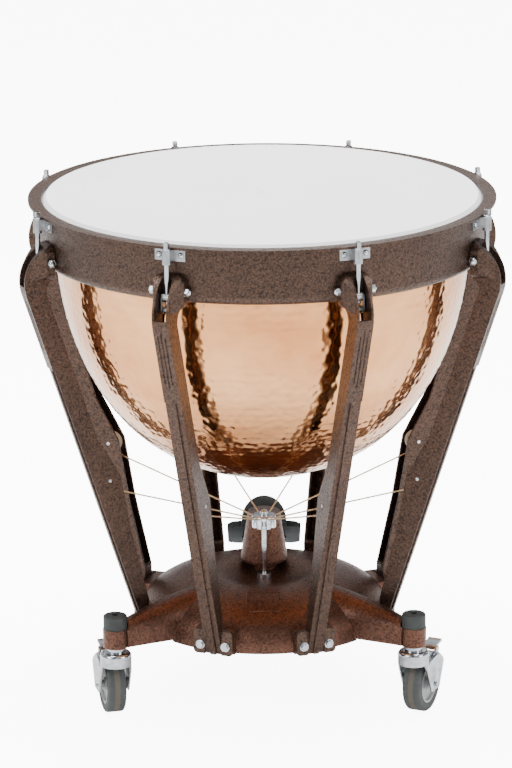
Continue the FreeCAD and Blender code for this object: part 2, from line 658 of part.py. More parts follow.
def make_cable_hub():
    """Crown with eight down-turned fingers, one for each cable."""
    z = HUB_CABLE_Z
    crown = post(0, 0, z - 3, z + 4, HUB_RADIUS)
    top = [edge for edge in crown.Edges if edge.BoundBox.ZMin > z + 3.9]
    crown = crown.makeFillet(3.5, top)
    skirt = ring(HUB_RADIUS - 7, HUB_RADIUS, z - 18, z - 2)
    boss = post(0, 0, z - 20, z + 6, 9.0)
    body = crown.fuse([skirt, boss])
    for number in range(STATIONS):
        slot = box(HUB_RADIUS - 7.5, HUB_RADIUS + 3, -3.2, 3.2, z - 19, z - 3)
        body = body.cut(turned(slot, station_angle(number) + 22.5))
        socket = bar_x(HUB_RADIUS - 9, HUB_RADIUS + 4, 0, z, CABLE_RADIUS + 0.4)
        body = body.cut(turned(socket, station_angle(number)))
    return body.cut(post(0, 0, z - 30, z + 30, PULL_ROD_RADIUS + 0.05)).removeSplitter()


def rocker_z(y):
    slope = (ROCKER_END_Z - ROCKER_PIVOT_Z) / (ROCKER_END_Y - ROCKER_PIVOT_Y)
    return ROCKER_PIVOT_Z + slope * (y - ROCKER_PIVOT_Y)


def make_pull_rod():
    """Rod with the hub's domed nut at the top and the stop nut under the rocker."""
    stop_z = rocker_z(0) - ROCKER_HALF_HEIGHT - 2.0
    rod = post(0, 0, stop_z - 14, HUB_CABLE_Z + 10, PULL_ROD_RADIUS)
    dome = Part.makeSphere(7.0, FreeCAD.Vector(0, 0, HUB_CABLE_Z + 6))
    dome = dome.common(box(-9, 9, -9, 9, HUB_CABLE_Z + 6, HUB_CABLE_Z + 20))
    nut = post(0, 0, stop_z - 10, stop_z, 9.0)
    return rod.fuse([dome, nut]).removeSplitter()


# ---------------------------------------------------------------- base casting

def dome_solid(inset):
    """Low dome with a dished centre: a quarter ellipse outside, a cosine dip inside."""
    bottom = BASE_Z if inset <= 0 else BASE_Z - 5
    rim_z = BASE_Z + DOME_RIM
    span = BASE_RADIUS - DOME_RIDGE_RADIUS - inset
    rise = DOME_RIDGE_Z - rim_z - inset
    outside = []
    for step in range(9):
        angle = math.radians(90.0 * step / 8)
        outside.append((DOME_RIDGE_RADIUS + span * math.cos(angle), rim_z + rise * math.sin(angle)))
    dish = []
    width = DOME_RIDGE_RADIUS - DOME_CENTRE_RADIUS
    for step in range(7):
        share = step / 6
        dip = (DOME_RIDGE_Z - DOME_CENTRE_Z) * (1 - math.cos(math.pi * share)) / 2
        dish.append((DOME_RIDGE_RADIUS - width * share, DOME_RIDGE_Z - inset - dip))
    edges = [
        line((0, bottom), (BASE_RADIUS - inset, bottom)),
        line((BASE_RADIUS - inset, bottom), outside[0]),
        curve(outside),
        curve(dish),
        line(dish[-1], (0, DOME_CENTRE_Z - inset)),
        line((0, DOME_CENTRE_Z - inset), (0, bottom)),
    ]
    return revolved(edges)


def arm_section(x, half_width, z0, shoulder, top):
    corners = [FreeCAD.Vector(x, -half_width, z0), FreeCAD.Vector(x, half_width, z0),
               FreeCAD.Vector(x, half_width, shoulder), FreeCAD.Vector(x, -half_width, shoulder)]
    crest = Part.Arc(corners[2], FreeCAD.Vector(x, 0, top), corners[3]).toShape()
    return Part.Wire([Part.makeLine(corners[0], corners[1]), Part.makeLine(corners[1], corners[2]),
                      crest, Part.makeLine(corners[3], corners[0])])


def arm_solid(sections, inset):
    bottom = BASE_Z + 5 if inset <= 0 else BASE_Z - 5
    wires = []
    for x, half_width, shoulder, top in sections:
        wires.append(arm_section(x, half_width - inset, bottom, shoulder - inset, top - inset))
    return Part.makeLoft(wires, True, False)


FRONT_ARM = [(100, 58, 168, 204), (200, 38, 164, 194), (ARM_RADIUS - 12, 20.5, 150, 170)]
REAR_ARM = [(100, 58, 166, 198), (215, 47, 150, 162), (REAR_ARM_RADIUS - 12, 21, 136, 146)]


def make_base():
    outer = dome_solid(0)
    hollow = dome_solid(BASE_WALL)
    arms = []
    for azimuth, radius, sections, boss_top in (
            (ARM_AZIMUTH, ARM_RADIUS, FRONT_ARM, BOSS_TOP_Z),
            (-ARM_AZIMUTH, ARM_RADIUS, FRONT_ARM, BOSS_TOP_Z),
            (180.0, REAR_ARM_RADIUS, REAR_ARM, REAR_BOSS_TOP_Z)):
        arm = arm_solid(sections, 0)
        boss = post(radius, 0, BOSS_BOTTOM_Z, boss_top, BOSS_RADIUS)
        outer = outer.fuse([turned(arm, azimuth), turned(boss, azimuth)])
        inner_sections = sections[:-1] + [(sections[-1][0] - 22,) + sections[-1][1:]]
        hollow = hollow.fuse(turned(arm_solid(inner_sections, BASE_WALL), azimuth))
        arms.append((azimuth, radius, boss_top))
    # pads and notches for the strut feet
    pad = box(FOOT_FACE_RADIUS - 24, FOOT_FACE_RADIUS - 0.1, -FOOT_HALF_WIDTH, FOOT_HALF_WIDTH,
              BASE_Z, BASE_Z + FOOT_HEIGHT - 3)
    notch = box(FOOT_FACE_RADIUS - 0.1, FOOT_FACE_RADIUS + 60, -FOOT_HALF_WIDTH - 1, FOOT_HALF_WIDTH + 1,
                BASE_Z - 8, BASE_Z + FOOT_HEIGHT + 3)
    outer = outer.fuse(at_stations(pad))
    outer = outer.cut(hollow)
    for piece in at_stations(notch):
        outer = outer.cut(piece)
    for bolt_side in (-FOOT_BOLT_SPREAD, FOOT_BOLT_SPREAD):
        hole = bar_x(FOOT_FACE_RADIUS - 40, FOOT_FACE_RADIUS + 1, bolt_side, BASE_Z + 15, 3.3)
        for piece in at_stations(hole):
            outer = outer.cut(piece)
    # rocker pivot ears, under the dome
    for side in (-1, 1):
        low, high = sorted((side * (ROCKER_HALF_WIDTH + 2), side * (ROCKER_HALF_WIDTH + 12)))
        ear = box(low, high, ROCKER_PIVOT_Y - 14, ROCKER_PIVOT_Y + 14, BASE_Z + 6, DOME_RIDGE_Z)
        outer = outer.fuse(ear.common(dome_solid(1.0)))
    outer = outer.cut(bar_x(-40, 40, ROCKER_PIVOT_Y, ROCKER_PIVOT_Z, 5.1))
    # pedal shaft ears, on the rear arm
    for side in (-1, 1):
        low, high = sorted((side * PEDAL_EAR_INNER, side * PEDAL_EAR_OUTER))
        ear = box(low, high, PEDAL_Y - 12, PEDAL_Y + 12, BASE_Z + 6, PEDAL_Z)
        ear = ear.fuse(bar_x(low, high, PEDAL_Y, PEDAL_Z, TREADLE_RISE - 1))
        outer = outer.fuse(ear)
    outer = outer.cut(bar_x(-60, 60, PEDAL_Y, PEDAL_Z, PEDAL_SHAFT_RADIUS + 0.1))
    # raised outline on the front slope
    frame = box(-31, 31, -174, -114, BASE_Z, BASE_Z + 110)
    frame = frame.makeFillet(8.0, [edge for edge in frame.Edges if edge.BoundBox.ZLength > 100])
    window = box(-28, 28, -171, -117, BASE_Z - 1, BASE_Z + 120)
    window = window.makeFillet(6.0, [edge for edge in window.Edges if edge.BoundBox.ZLength > 100])
    outline = frame.cut(window).common(dome_solid(-1.2)).cut(dome_solid(2.0))
    outer = outer.fuse(outline)
    # openings: pull rod bush, tower neck, pedal arm, caster stems and caps
    outer = outer.cut(post(0, 0, BASE_Z, 260, 9.1))
    outer = outer.cut(post(0, TOWER_Y, BASE_Z, 260, 24.1))
    outer = outer.cut(box(-15, 15, ROCKER_END_Y - 24, PEDAL_Y + 16, BASE_Z - 8, 230))
    for azimuth, radius, boss_top in arms:
        bore = post(radius, 0, BOSS_BOTTOM_Z - 1, boss_top - 6, STEM_RADIUS + RUNNING_FIT)
        above = post(radius, 0, boss_top, boss_top + 60, BOSS_RADIUS + 1)
        below = post(radius, 0, BASE_Z - 40, BOSS_BOTTOM_Z, 110)
        swing = below.cut(box(-20, FOOT_FACE_RADIUS + 15, -200, 200, 0, 300))
        for cutter in (bore, above, swing):
            outer = outer.cut(turned(cutter, azimuth))
    return outer.removeSplitter()


def make_tower():
    """Cast cone over the balance spring, narrowed at its foot."""
    wall = 5.0
    low = DOME_CENTRE_Z - 8
    neck, lip, top = 24.0, 41.5, 28.0
    outline = [(neck, low), (neck, TOWER_LIP_Z - 4.5), (lip, TOWER_LIP_Z), (lip, TOWER_LIP_Z + 4),
               (top, TOWER_TOP_Z), (6.1, TOWER_TOP_Z), (6.1, TOWER_TOP_Z - wall),
               (top - wall, TOWER_TOP_Z - wall), (lip - wall - 1, TOWER_LIP_Z + 6),
               (lip - wall - 1, TOWER_LIP_Z + 5), (neck - wall, TOWER_LIP_Z - 1), (neck - wall, low)]
    edges = [line(outline[index], outline[(index + 1) % len(outline)]) for index in range(len(outline))]
    body = revolved(edges)
    body.translate(FreeCAD.Vector(0, TOWER_Y, 0))
    return body


def make_bush():
    body = post(0, 0, DOME_CENTRE_Z - 12, DOME_CENTRE_Z, 9.0)
    body = body.fuse(post(0, 0, DOME_CENTRE_Z, DOME_CENTRE_Z + 8, 12.3))
    return body.cut(post(0, 0, 0, 400, PULL_ROD_RADIUS + RUNNING_FIT)).removeSplitter()


def make_cap():
    body = post(ARM_RADIUS, 0, BOSS_TOP_Z, BOSS_TOP_Z + CAP_HEIGHT, CAP_RADIUS)
    top = [edge for edge in body.Edges if edge.BoundBox.ZMin > BOSS_TOP_Z + CAP_HEIGHT - 0.1]
    body = body.makeFillet(3.0, top)
    return body.cut(post(ARM_RADIUS, 0, BOSS_TOP_Z + CAP_HEIGHT - 9, BOSS_TOP_Z + CAP_HEIGHT + 9, 5.5))


# ---------------------------------------------------------------- pedal and linkage

def make_rocker():
    half = ROCKER_HALF_HEIGHT
    points = [(ROCKER_PIVOT_Y, ROCKER_PIVOT_Z - half), (ROCKER_END_Y, ROCKER_END_Z - half),
              (ROCKER_END_Y, ROCKER_END_Z + half), (ROCKER_PIVOT_Y, ROCKER_PIVOT_Z + half)]
    width = ROCKER_HALF_WIDTH
    body = plate_yz(points, -width, width)
    body = body.fuse([bar_x(-width, width, ROCKER_PIVOT_Y, ROCKER_PIVOT_Z, half),
                      bar_x(-width, width, ROCKER_END_Y, ROCKER_END_Z, half)])
    # spring seat
    body = body.fuse(post(0, TOWER_Y, rocker_z(TOWER_Y), rocker_z(TOWER_Y) + half + 3, 16.0)
                     .common(box(-20, 20, 0, 100, rocker_z(TOWER_Y) + 3, 300)))
    slot = box(-PULL_ROD_RADIUS - 0.5, PULL_ROD_RADIUS + 0.5, -8, 8, 0, 400)
    body = body.cut(slot)
    body = body.cut(bar_x(-40, 40, ROCKER_PIVOT_Y, ROCKER_PIVOT_Z, 5.0 + RUNNING_FIT))
    return body.cut(bar_x(-40, 40, ROCKER_END_Y, ROCKER_END_Z, PIN_RADIUS + PIN_PLAY)).removeSplitter()


def make_link():
    """Two side plates and two pins between the rocker and the pedal's arm."""
    pieces = []
    inner = ROCKER_HALF_WIDTH + 0.6
    for side in (-1, 1):
        low, high = sorted((side * inner, side * (inner + LINK_PLATE)))
        plate = box(low, high, ROCKER_END_Y - 8, ROCKER_END_Y + 8, ROCKER_END_Z, LINK_PIN_Z)
        plate = plate.fuse([bar_x(low, high, ROCKER_END_Y, ROCKER_END_Z, 8),
                            bar_x(low, high, ROCKER_END_Y, LINK_PIN_Z, 8)])
        pieces.append(plate)
    for z in (ROCKER_END_Z, LINK_PIN_Z):
        pieces.append(bar_x(-inner - LINK_PLATE, inner + LINK_PLATE, ROCKER_END_Y, z, PIN_RADIUS))
    return pieces[0].fuse(pieces[1:]).removeSplitter()


def tilted(shape):
    """Tilt a shape drawn about the pedal shaft, treadle level, to the rest slope."""
    copy = shape.copy()
    copy.rotate(FreeCAD.Vector(0, 0, 0), FreeCAD.Vector(1, 0, 0), -PEDAL_ANGLE)
    copy.translate(FreeCAD.Vector(0, PEDAL_Y, PEDAL_Z))
    return copy


def footplate(grow, z0, z1):
    """Treadle outline: a wide plate that narrows towards the toe, with rounded corners."""
    shoulder = -PEDAL_TOE + 42
    tip = -PEDAL_TOE - grow
    wide = box(-PEDAL_HALF_WIDTH - grow, PEDAL_HALF_WIDTH + grow, shoulder - grow, PEDAL_HEEL + grow, z0, z1)
    wide = wide.makeFillet(24.0, upright_edges(wide))
    toe = box(-TOE_HALF_WIDTH - grow, TOE_HALF_WIDTH + grow, tip, shoulder + 40, z0, z1)
    toe = toe.makeFillet(16.0, [edge for edge in upright_edges(toe) if edge.BoundBox.YMax < tip + 1])
    return wide.fuse(toe).removeSplitter()


def make_treadle():
    top = TREADLE_RISE + TREADLE_THICKNESS
    plate = footplate(0, TREADLE_RISE, top)
    hub = bar_x(-PEDAL_EAR_INNER + 0.6, PEDAL_EAR_INNER - 0.6, 0, 0, 13.0)
    gusset = box(-PEDAL_EAR_INNER + 0.6, PEDAL_EAR_INNER - 0.6, -13, 13, 0, TREADLE_RISE + 1)
    body = tilted(plate.fuse([hub, gusset]))
    arm = plate_yz([(ROCKER_END_Y, LINK_PIN_Z - 8), (PEDAL_Y, PEDAL_Z - 8),
                    (PEDAL_Y, PEDAL_Z + 8), (ROCKER_END_Y, LINK_PIN_Z + 8)], -9, 9)
    arm = arm.fuse(bar_x(-9, 9, ROCKER_END_Y, LINK_PIN_Z, 11.5))
    body = body.fuse(arm)
    slot_radius = PIN_RADIUS + PIN_PLAY
    slot = box(-20, 20, ROCKER_END_Y - LINK_PLAY, ROCKER_END_Y + LINK_PLAY, LINK_PIN_Z - slot_radius,
               LINK_PIN_Z + slot_radius)
    for y in (ROCKER_END_Y - LINK_PLAY, ROCKER_END_Y + LINK_PLAY):
        slot = slot.fuse(bar_x(-20, 20, y, LINK_PIN_Z, slot_radius))
    body = body.cut(slot)
    return body.cut(bar_x(-60, 60, PEDAL_Y, PEDAL_Z, PEDAL_SHAFT_RADIUS + RUNNING_FIT)).removeSplitter()


def make_pedal_pad():
    top = TREADLE_RISE + TREADLE_THICKNESS
    return tilted(footplate(-5.0, top, top + PAD_THICKNESS))


def make_toe_hood():
    """Rounded cup over the toe end, open towards the heel."""
    base = TREADLE_RISE + TREADLE_THICKNESS + PAD_THICKNESS + 0.2
    shell = []
    for inset in (0.0, 3.5):
        ball = Part.makeSphere(1.0)
        matrix = FreeCAD.Matrix()
        matrix.scale(TOE_HALF_WIDTH - inset, 40.0 - inset, 44.0 - inset)
        ball = ball.transformGeometry(matrix)
        ball.translate(FreeCAD.Vector(0, -PEDAL_TOE + 40.0, base))
        shell.append(ball)
    body = shell[0].cut(shell[1])
    keep = box(-60, 60, -PEDAL_TOE - 10, -PEDAL_TOE + 58, base, base + 60)
    return tilted(body.common(keep)).removeSplitter()


def make_spring():
    """Balance spring between the tower's top and the rocker's seat."""
    low = rocker_z(TOWER_Y) + ROCKER_HALF_HEIGHT + 5.0
    high = TOWER_TOP_Z - 7.5
    helix = Part.makeHelix(12.0, high - low, 13.0)
    wire = Part.Wire(Part.makeCircle(1.6, FreeCAD.Vector(13.0, 0, 0), FreeCAD.Vector(0, 1, 0)))
    spring = Part.Wire(helix).makePipeShell([wire], True, True)
    spring.translate(FreeCAD.Vector(0, TOWER_Y, low))
    return spring


# ---------------------------------------------------------------- casters

def placed_caster(shape, azimuth, radius, trail_direction):
    """Turn a caster drawn trailing towards +X about its stem, and stand it under its boss."""
    copy = shape.copy()
    copy.rotate(FreeCAD.Vector(0, 0, 0), FreeCAD.Vector(0, 0, 1), trail_direction)
    angle = math.radians(azimuth)
    copy.translate(FreeCAD.Vector(radius * math.sin(angle), -radius * math.cos(angle), 0))
    return copy


def make_fork():
    """Stem, bearing cup and pressed hood with two side plates down to the axle."""
    hood = bar_y(TRAIL, -FORK_OUTER, FORK_OUTER, WHEEL_RADIUS, HOOD_RADIUS)
    hood = hood.makeFillet(9.0, [edge for edge in hood.Edges if edge.Length > HOOD_RADIUS])
    cup_low = WHEEL_RADIUS + 20
    cup = post(0, 0, cup_low, BOSS_BOTTOM_Z - 9, FORK_OUTER)
    cup = cup.makeFillet(7.0, [edge for edge in cup.Edges if edge.BoundBox.ZMin > cup_low + 1])
    body = hood.fuse(cup)
    # side plates narrow downwards to the axle
    skirt, nose = WHEEL_RADIUS + 46, WHEEL_RADIUS + 34
    body = body.common(plate_xz([(TRAIL - 95, skirt), (TRAIL - 43, skirt), (TRAIL - 17, WHEEL_RADIUS - 10),
                                 (TRAIL + 17, WHEEL_RADIUS - 10), (TRAIL + 37, nose), (TRAIL + 57, nose),
                                 (TRAIL + 57, BOSS_BOTTOM_Z), (TRAIL - 95, BOSS_BOTTOM_Z)], -60, 60))
    inner_half = FORK_OUTER - FORK_SHEET
    inner = bar_y(TRAIL, -inner_half, inner_half, WHEEL_RADIUS, WHEEL_RADIUS + HOOD_CLEARANCE)
    inner = inner.makeFillet(7.0, [edge for edge in inner.Edges if edge.Length > WHEEL_RADIUS])
    body = body.cut(inner)
    body = body.cut(post(0, 0, 60, BOSS_BOTTOM_Z - 24, FORK_OUTER - FORK_SHEET))
    bearing = post(0, 0, BOSS_BOTTOM_Z - 26, BOSS_BOTTOM_Z - 1, 15.0)
    stem = post(0, 0, BOSS_BOTTOM_Z - 20, REAR_BOSS_TOP_Z - 8, STEM_RADIUS)
    body = body.fuse([bearing, stem])
    space = bar_y(TRAIL, -FORK_INNER, FORK_INNER, WHEEL_RADIUS, WHEEL_RADIUS + HOOD_CLEARANCE)
    body = body.cut(space)
    axle = bar_y(TRAIL, -FORK_OUTER - 3, FORK_OUTER + 3, WHEEL_RADIUS, CASTER_AXLE_RADIUS)
    pieces = [axle]
    for side in (-1, 1):
        low, high = sorted((side * (BRAKE_HALF_WIDTH + 0.5), side * (BRAKE_HALF_WIDTH + 4)))
        lug = plate_xz([(BRAKE_X - 16, BRAKE_Z - 8), (BRAKE_X, BRAKE_Z - 16), (BRAKE_X + 4.5, BRAKE_Z),
                        (BRAKE_X - 4.5, BRAKE_Z + 4)], low, high)
        pieces.append(lug.fuse(bar_y(BRAKE_X, low, high, BRAKE_Z, 4.5)).cut(space))
    pin = bar_y(BRAKE_X, -BRAKE_HALF_WIDTH - 4, BRAKE_HALF_WIDTH + 4, BRAKE_Z, BRAKE_PIN_RADIUS)
    return body.fuse(pieces + [pin]).removeSplitter()


def make_wheel():
    rim = WHEEL_RADIUS - TYRE_DEPTH
    half = TYRE_HALF_WIDTH - 1
    body = bar_y(TRAIL, -half, half, WHEEL_RADIUS, rim)
    for side in (-1, 1):
        low, high = sorted((side * (half - 5), side * (half + 1)))
        recess = bar_y(TRAIL, low, high, WHEEL_RADIUS, rim - 4).cut(bar_y(TRAIL, low, high, WHEEL_RADIUS, 11))
        body = body.cut(recess)
    body = body.fuse(bar_y(TRAIL, -FORK_OUTER + FORK_SHEET + 0.4, FORK_OUTER - FORK_SHEET - 0.4,
                           WHEEL_RADIUS, 8))
    return body.cut(bar_y(TRAIL, -60, 60, WHEEL_RADIUS, CASTER_AXLE_RADIUS + RUNNING_FIT)).removeSplitter()


def make_tyre():
    half = TYRE_HALF_WIDTH
    body = bar_y(TRAIL, -half, half, WHEEL_RADIUS, WHEEL_RADIUS)
    body = body.makeFillet(5.0, [edge for edge in body.Edges if edge.Length > WHEEL_RADIUS])
    return body.cut(bar_y(TRAIL, -60, 60, WHEEL_RADIUS, WHEEL_RADIUS - TYRE_DEPTH))


def make_brake():
    """Foot lever behind the hood, on its own cross pin."""
    plate = plate_xz([(BRAKE_X - 2, BRAKE_Z - 1), (BRAKE_X + 24, BRAKE_Z + 4), (BRAKE_X + 24, BRAKE_Z + 8),
                      (BRAKE_X - 2, BRAKE_Z + 4)], -BRAKE_HALF_WIDTH, BRAKE_HALF_WIDTH)
    tip = bar_y(BRAKE_X + 24, -BRAKE_HALF_WIDTH, BRAKE_HALF_WIDTH, BRAKE_Z + 6, 3.2)
    knuckle = bar_y(BRAKE_X, -BRAKE_HALF_WIDTH, BRAKE_HALF_WIDTH, BRAKE_Z, 4.5)
    bore = bar_y(BRAKE_X, -20, 20, BRAKE_Z, BRAKE_PIN_RADIUS + RUNNING_FIT)
    return plate.fuse([tip, knuckle]).cut(bore).removeSplitter()


# ---------------------------------------------------------------- build

def build():
    os.makedirs("parts", exist_ok=True)
    save("bowl", make_bowl())
    save("head_film", make_head())
    save("flesh_hoop", make_flesh_hoop())
    save("counterhoop", make_counterhoop())
    save("support_ring", make_support_ring())
    save("base_casting", make_base())
    save("mechanism_tower", make_tower())
    save("pull_rod_bush", make_bush())
    save("arm_caps", [turned(make_cap(), azimuth) for azimuth in (-ARM_AZIMUTH, ARM_AZIMUTH)])
    strut = make_strut()
    pairs = (("front_struts", (0, 7)), ("side_front_struts", (1, 6)),
             ("side_rear_struts", (2, 5)), ("rear_struts", (3, 4)))
    for name, numbers in pairs:
        save(name, [turned(strut, station_angle(number)) for number in numbers])
    save("strut_top_bolts", at_stations(make_top_bolt()))
    save("strut_foot_bolts", at_stations(make_foot_bolt(-1)) + at_stations(make_foot_bolt(1)))
    save("rod_clips", at_stations(make_clip()))
    save("clip_screws", at_stations(make_clip_screw(-1)) + at_stations(make_clip_screw(1)))
    save("barrel_nuts", at_stations(make_barrel_nut()))
    save("clevis_links", at_stations(make_link_plate(-1)) + at_stations(make_link_plate(1)))
    save("clevis_pins", at_stations(make_clevis_pin()))
    save("cable_eyes", at_stations(make_cable_eye()))
    save("tension_cables", at_stations(make_cable()))
    save("pulley_axles", at_stations(make_pulley_axle()))
    for number in range(STATIONS):
        save("tension_rod_%d" % (number + 1), turned(make_rod(), station_angle(number)))
        save("cable_pulley_%d" % (number + 1), turned(make_pulley(), station_angle(number)))
    save("cable_hub", make_cable_hub())
    save("pull_rod", make_pull_rod())
    save("rocker_lever", make_rocker())
    save("pedal_link", make_link())
    save("pedal_treadle", make_treadle())
    save("pedal_pad", make_pedal_pad())
    save("toe_hood", make_toe_hood())
    save("balance_spring", make_spring())
    shafts = [bar_x(-PEDAL_EAR_OUTER - 2, PEDAL_EAR_OUTER + 2, PEDAL_Y, PEDAL_Z, PEDAL_SHAFT_RADIUS),
              bar_x(-ROCKER_HALF_WIDTH - 14, ROCKER_HALF_WIDTH + 14, ROCKER_PIVOT_Y, ROCKER_PIVOT_Z, 5.0)]
    save("pivot_shafts", shafts)
    for place, (azimuth, radius, direction) in CASTERS.items():
        for name, shape in (("fork", make_fork()), ("wheel", make_wheel()),
                            ("tyre", make_tyre()), ("brake", make_brake())):
            save("caster_%s_%s" % (name, place), placed_caster(shape, azimuth, radius, direction))


build()
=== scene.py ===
import json
import math

import bpy
import numpy as np
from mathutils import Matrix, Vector


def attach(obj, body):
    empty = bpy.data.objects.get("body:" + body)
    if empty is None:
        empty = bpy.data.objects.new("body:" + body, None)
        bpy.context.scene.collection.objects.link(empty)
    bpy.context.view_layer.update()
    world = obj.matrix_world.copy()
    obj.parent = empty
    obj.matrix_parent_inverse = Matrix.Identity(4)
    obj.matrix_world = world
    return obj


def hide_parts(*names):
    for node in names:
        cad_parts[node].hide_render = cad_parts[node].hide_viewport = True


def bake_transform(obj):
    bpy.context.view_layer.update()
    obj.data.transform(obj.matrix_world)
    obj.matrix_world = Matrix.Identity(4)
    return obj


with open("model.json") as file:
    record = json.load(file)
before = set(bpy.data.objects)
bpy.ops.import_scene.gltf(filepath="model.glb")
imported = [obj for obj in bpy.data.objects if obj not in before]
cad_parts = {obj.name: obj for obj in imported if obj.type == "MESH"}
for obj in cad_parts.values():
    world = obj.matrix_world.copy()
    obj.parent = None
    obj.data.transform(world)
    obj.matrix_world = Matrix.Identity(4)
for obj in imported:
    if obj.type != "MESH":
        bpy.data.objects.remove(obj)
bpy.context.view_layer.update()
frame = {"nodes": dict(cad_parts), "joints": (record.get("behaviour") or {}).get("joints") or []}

# ---- Studio -----------------------------------------------------------------
# A pale floor, a room of soft grey and white panels, and three large soft lamps. To the camera
# the floor and room glow far more than they light the drum, so they show as plain white.
# The camera stands well back, a little above the head, and looks down on the drum's front.

CAMERA_PLACE = (-0.0004, -7.0, 2.538)
CAMERA_PITCH = 0.2776
CAMERA_ROLL = 0.0060
CAMERA_LENS = 197.2
ROOM_GLOW = 1.15
FLOOR_GLOW = 0.4
SEEN_GLOW = 9.0
LAMPS = (("soft_left", (-3.2, -2.6, 2.6), 2.2, 90.0),
         ("soft_right", (3.4, -2.2, 2.2), 1.8, 60.0),
         ("soft_top", (0.0, 0.6, 4.2), 3.0, 420.0))
LAMP_AIM = Vector((0, 0, 0.5))
FLOOR_REACH = 15


def linear(code):
    """An sRGB hex colour as linear RGBA: each channel is undone by the sRGB curve."""
    parts = np.array([int(code[i:i + 2], 16) for i in (1, 3, 5)]) / 255.0
    values = np.where(parts <= 0.04045, parts / 12.92, ((parts + 0.055) / 1.055) ** 2.4)
    return (*values.tolist(), 1.0)


def add(tree, kind, links=None, **settings):
    """Adds one node: settings are its properties, links its inputs, each a value or a socket."""
    made = tree.nodes.new(kind)
    for key, value in settings.items():
        setattr(made, key, value)
    for key, value in (links or {}).items():
        if isinstance(value, bpy.types.NodeSocket):
            tree.links.new(value, made.inputs[key])
        else:
            made.inputs[key].default_value = value
    return made


def new_material(name):
    """An empty material: its tree, its Object coordinates and its Principled shader."""
    material = bpy.data.materials.new(name)
    material.use_nodes = True
    tree = material.node_tree
    tree.nodes.clear()
    place = add(tree, "ShaderNodeTexCoord").outputs["Object"]
    shader = add(tree, "ShaderNodeBsdfPrincipled")
    add(tree, "ShaderNodeOutputMaterial", {"Surface": shader.outputs["BSDF"]})
    return material, tree, place, shader


camera_data = bpy.data.cameras.new("camera")
camera_data.lens = CAMERA_LENS
camera_data.clip_end = 60.0
camera = bpy.data.objects.new("camera", camera_data)
camera.location = CAMERA_PLACE
camera.rotation_mode = "XYZ"
camera.rotation_euler = (math.pi / 2 - CAMERA_PITCH, CAMERA_ROLL, 0.0)
bpy.context.collection.objects.link(camera)
bpy.context.scene.camera = camera

world = bpy.data.worlds.new("studio_room")
world.use_nodes = True
room = world.node_tree
ray = add(room, "ShaderNodeLightPath")
ahead = add(room, "ShaderNodeTexCoord").outputs["Generated"]
panels = add(room, "ShaderNodeTexNoise", {"Vector": ahead, "Scale": 3.2, "Detail": 2.0})
level = add(room, "ShaderNodeValToRGB", {"Fac": panels.outputs["Fac"]})
level.color_ramp.elements[0].position = 0.42
level.color_ramp.elements[0].color = linear("#5a5a5c")
level.color_ramp.elements[1].position = 0.58
level.color_ramp.elements[1].color = linear("#ffffff")
seen = add(room, "ShaderNodeMix", {"Factor": ray.outputs["Is Camera Ray"],
                                   6: level.outputs["Color"], 7: linear("#ffffff")},
           data_type="RGBA")
strength = add(room, "ShaderNodeMapRange", {"Value": ray.outputs["Is Camera Ray"],
                                            "To Min": ROOM_GLOW, "To Max": SEEN_GLOW})
background = room.nodes["Background"]
room.links.new(seen.outputs[2], background.inputs["Color"])
room.links.new(strength.outputs["Result"], background.inputs["Strength"])
bpy.context.scene.world = world

for lamp, place, size, power in LAMPS:
    data = bpy.data.lights.new(lamp, "AREA")
    data.size = size
    data.energy = power
    light = bpy.data.objects.new(lamp, data)
    light.location = place
    light.rotation_mode = "QUATERNION"
    light.rotation_quaternion = (LAMP_AIM - Vector(place)).to_track_quat("-Z", "Y")
    bpy.context.collection.objects.link(light)

floor_mesh = bpy.data.meshes.new("studio_floor")
floor_mesh.from_pydata([(-FLOOR_REACH, -FLOOR_REACH, 0), (FLOOR_REACH, -FLOOR_REACH, 0),
                        (FLOOR_REACH, FLOOR_REACH, 0), (-FLOOR_REACH, FLOOR_REACH, 0)],
                       [], [(0, 1, 2, 3)])
floor = bpy.data.objects.new("studio_floor", floor_mesh)
bpy.context.collection.objects.link(floor)
paper, tree, place, shader = new_material("matt_paper_sweep")
grain = add(tree, "ShaderNodeTexNoise", {"Vector": place, "Scale": 40.0, "Detail": 3.0})
tint = add(tree, "ShaderNodeValToRGB", {"Fac": grain.outputs["Fac"]})
tint.color_ramp.elements[0].color = linear("#f3f3f2")
tint.color_ramp.elements[1].color = linear("#fafafa")
tree.links.new(tint.outputs["Color"], shader.inputs["Base Color"])
shader.inputs["Roughness"].default_value = 0.9
shader.inputs["Specular IOR Level"].default_value = 0.2
shader.inputs["Emission Color"].default_value = linear("#ffffff")
direct = add(tree, "ShaderNodeLightPath").outputs["Is Camera Ray"]
shown = add(tree, "ShaderNodeMapRange", {"Value": direct, "To Min": FLOOR_GLOW,
                                         "To Max": SEEN_GLOW})
tree.links.new(shown.outputs["Result"], shader.inputs["Emission Strength"])
# The floor is clear from below, so that the drum's underside can be seen.
underneath = add(tree, "ShaderNodeNewGeometry").outputs["Backfacing"]
clear = add(tree, "ShaderNodeBsdfTransparent").outputs["BSDF"]
either = add(tree, "ShaderNodeMixShader", {0: underneath, 1: shader.outputs["BSDF"],
                                           2: clear})
tree.links.new(either.outputs["Shader"], tree.nodes["Material Output"].inputs["Surface"])
floor_mesh.materials.append(paper)

# ---- Kettle -----------------------------------------------------------------
# Spun from sheet copper and planished by hand in rows of shallow hammer marks, then polished
# and lacquered. The rim is turned out over the support ring and up to the bearing edge.

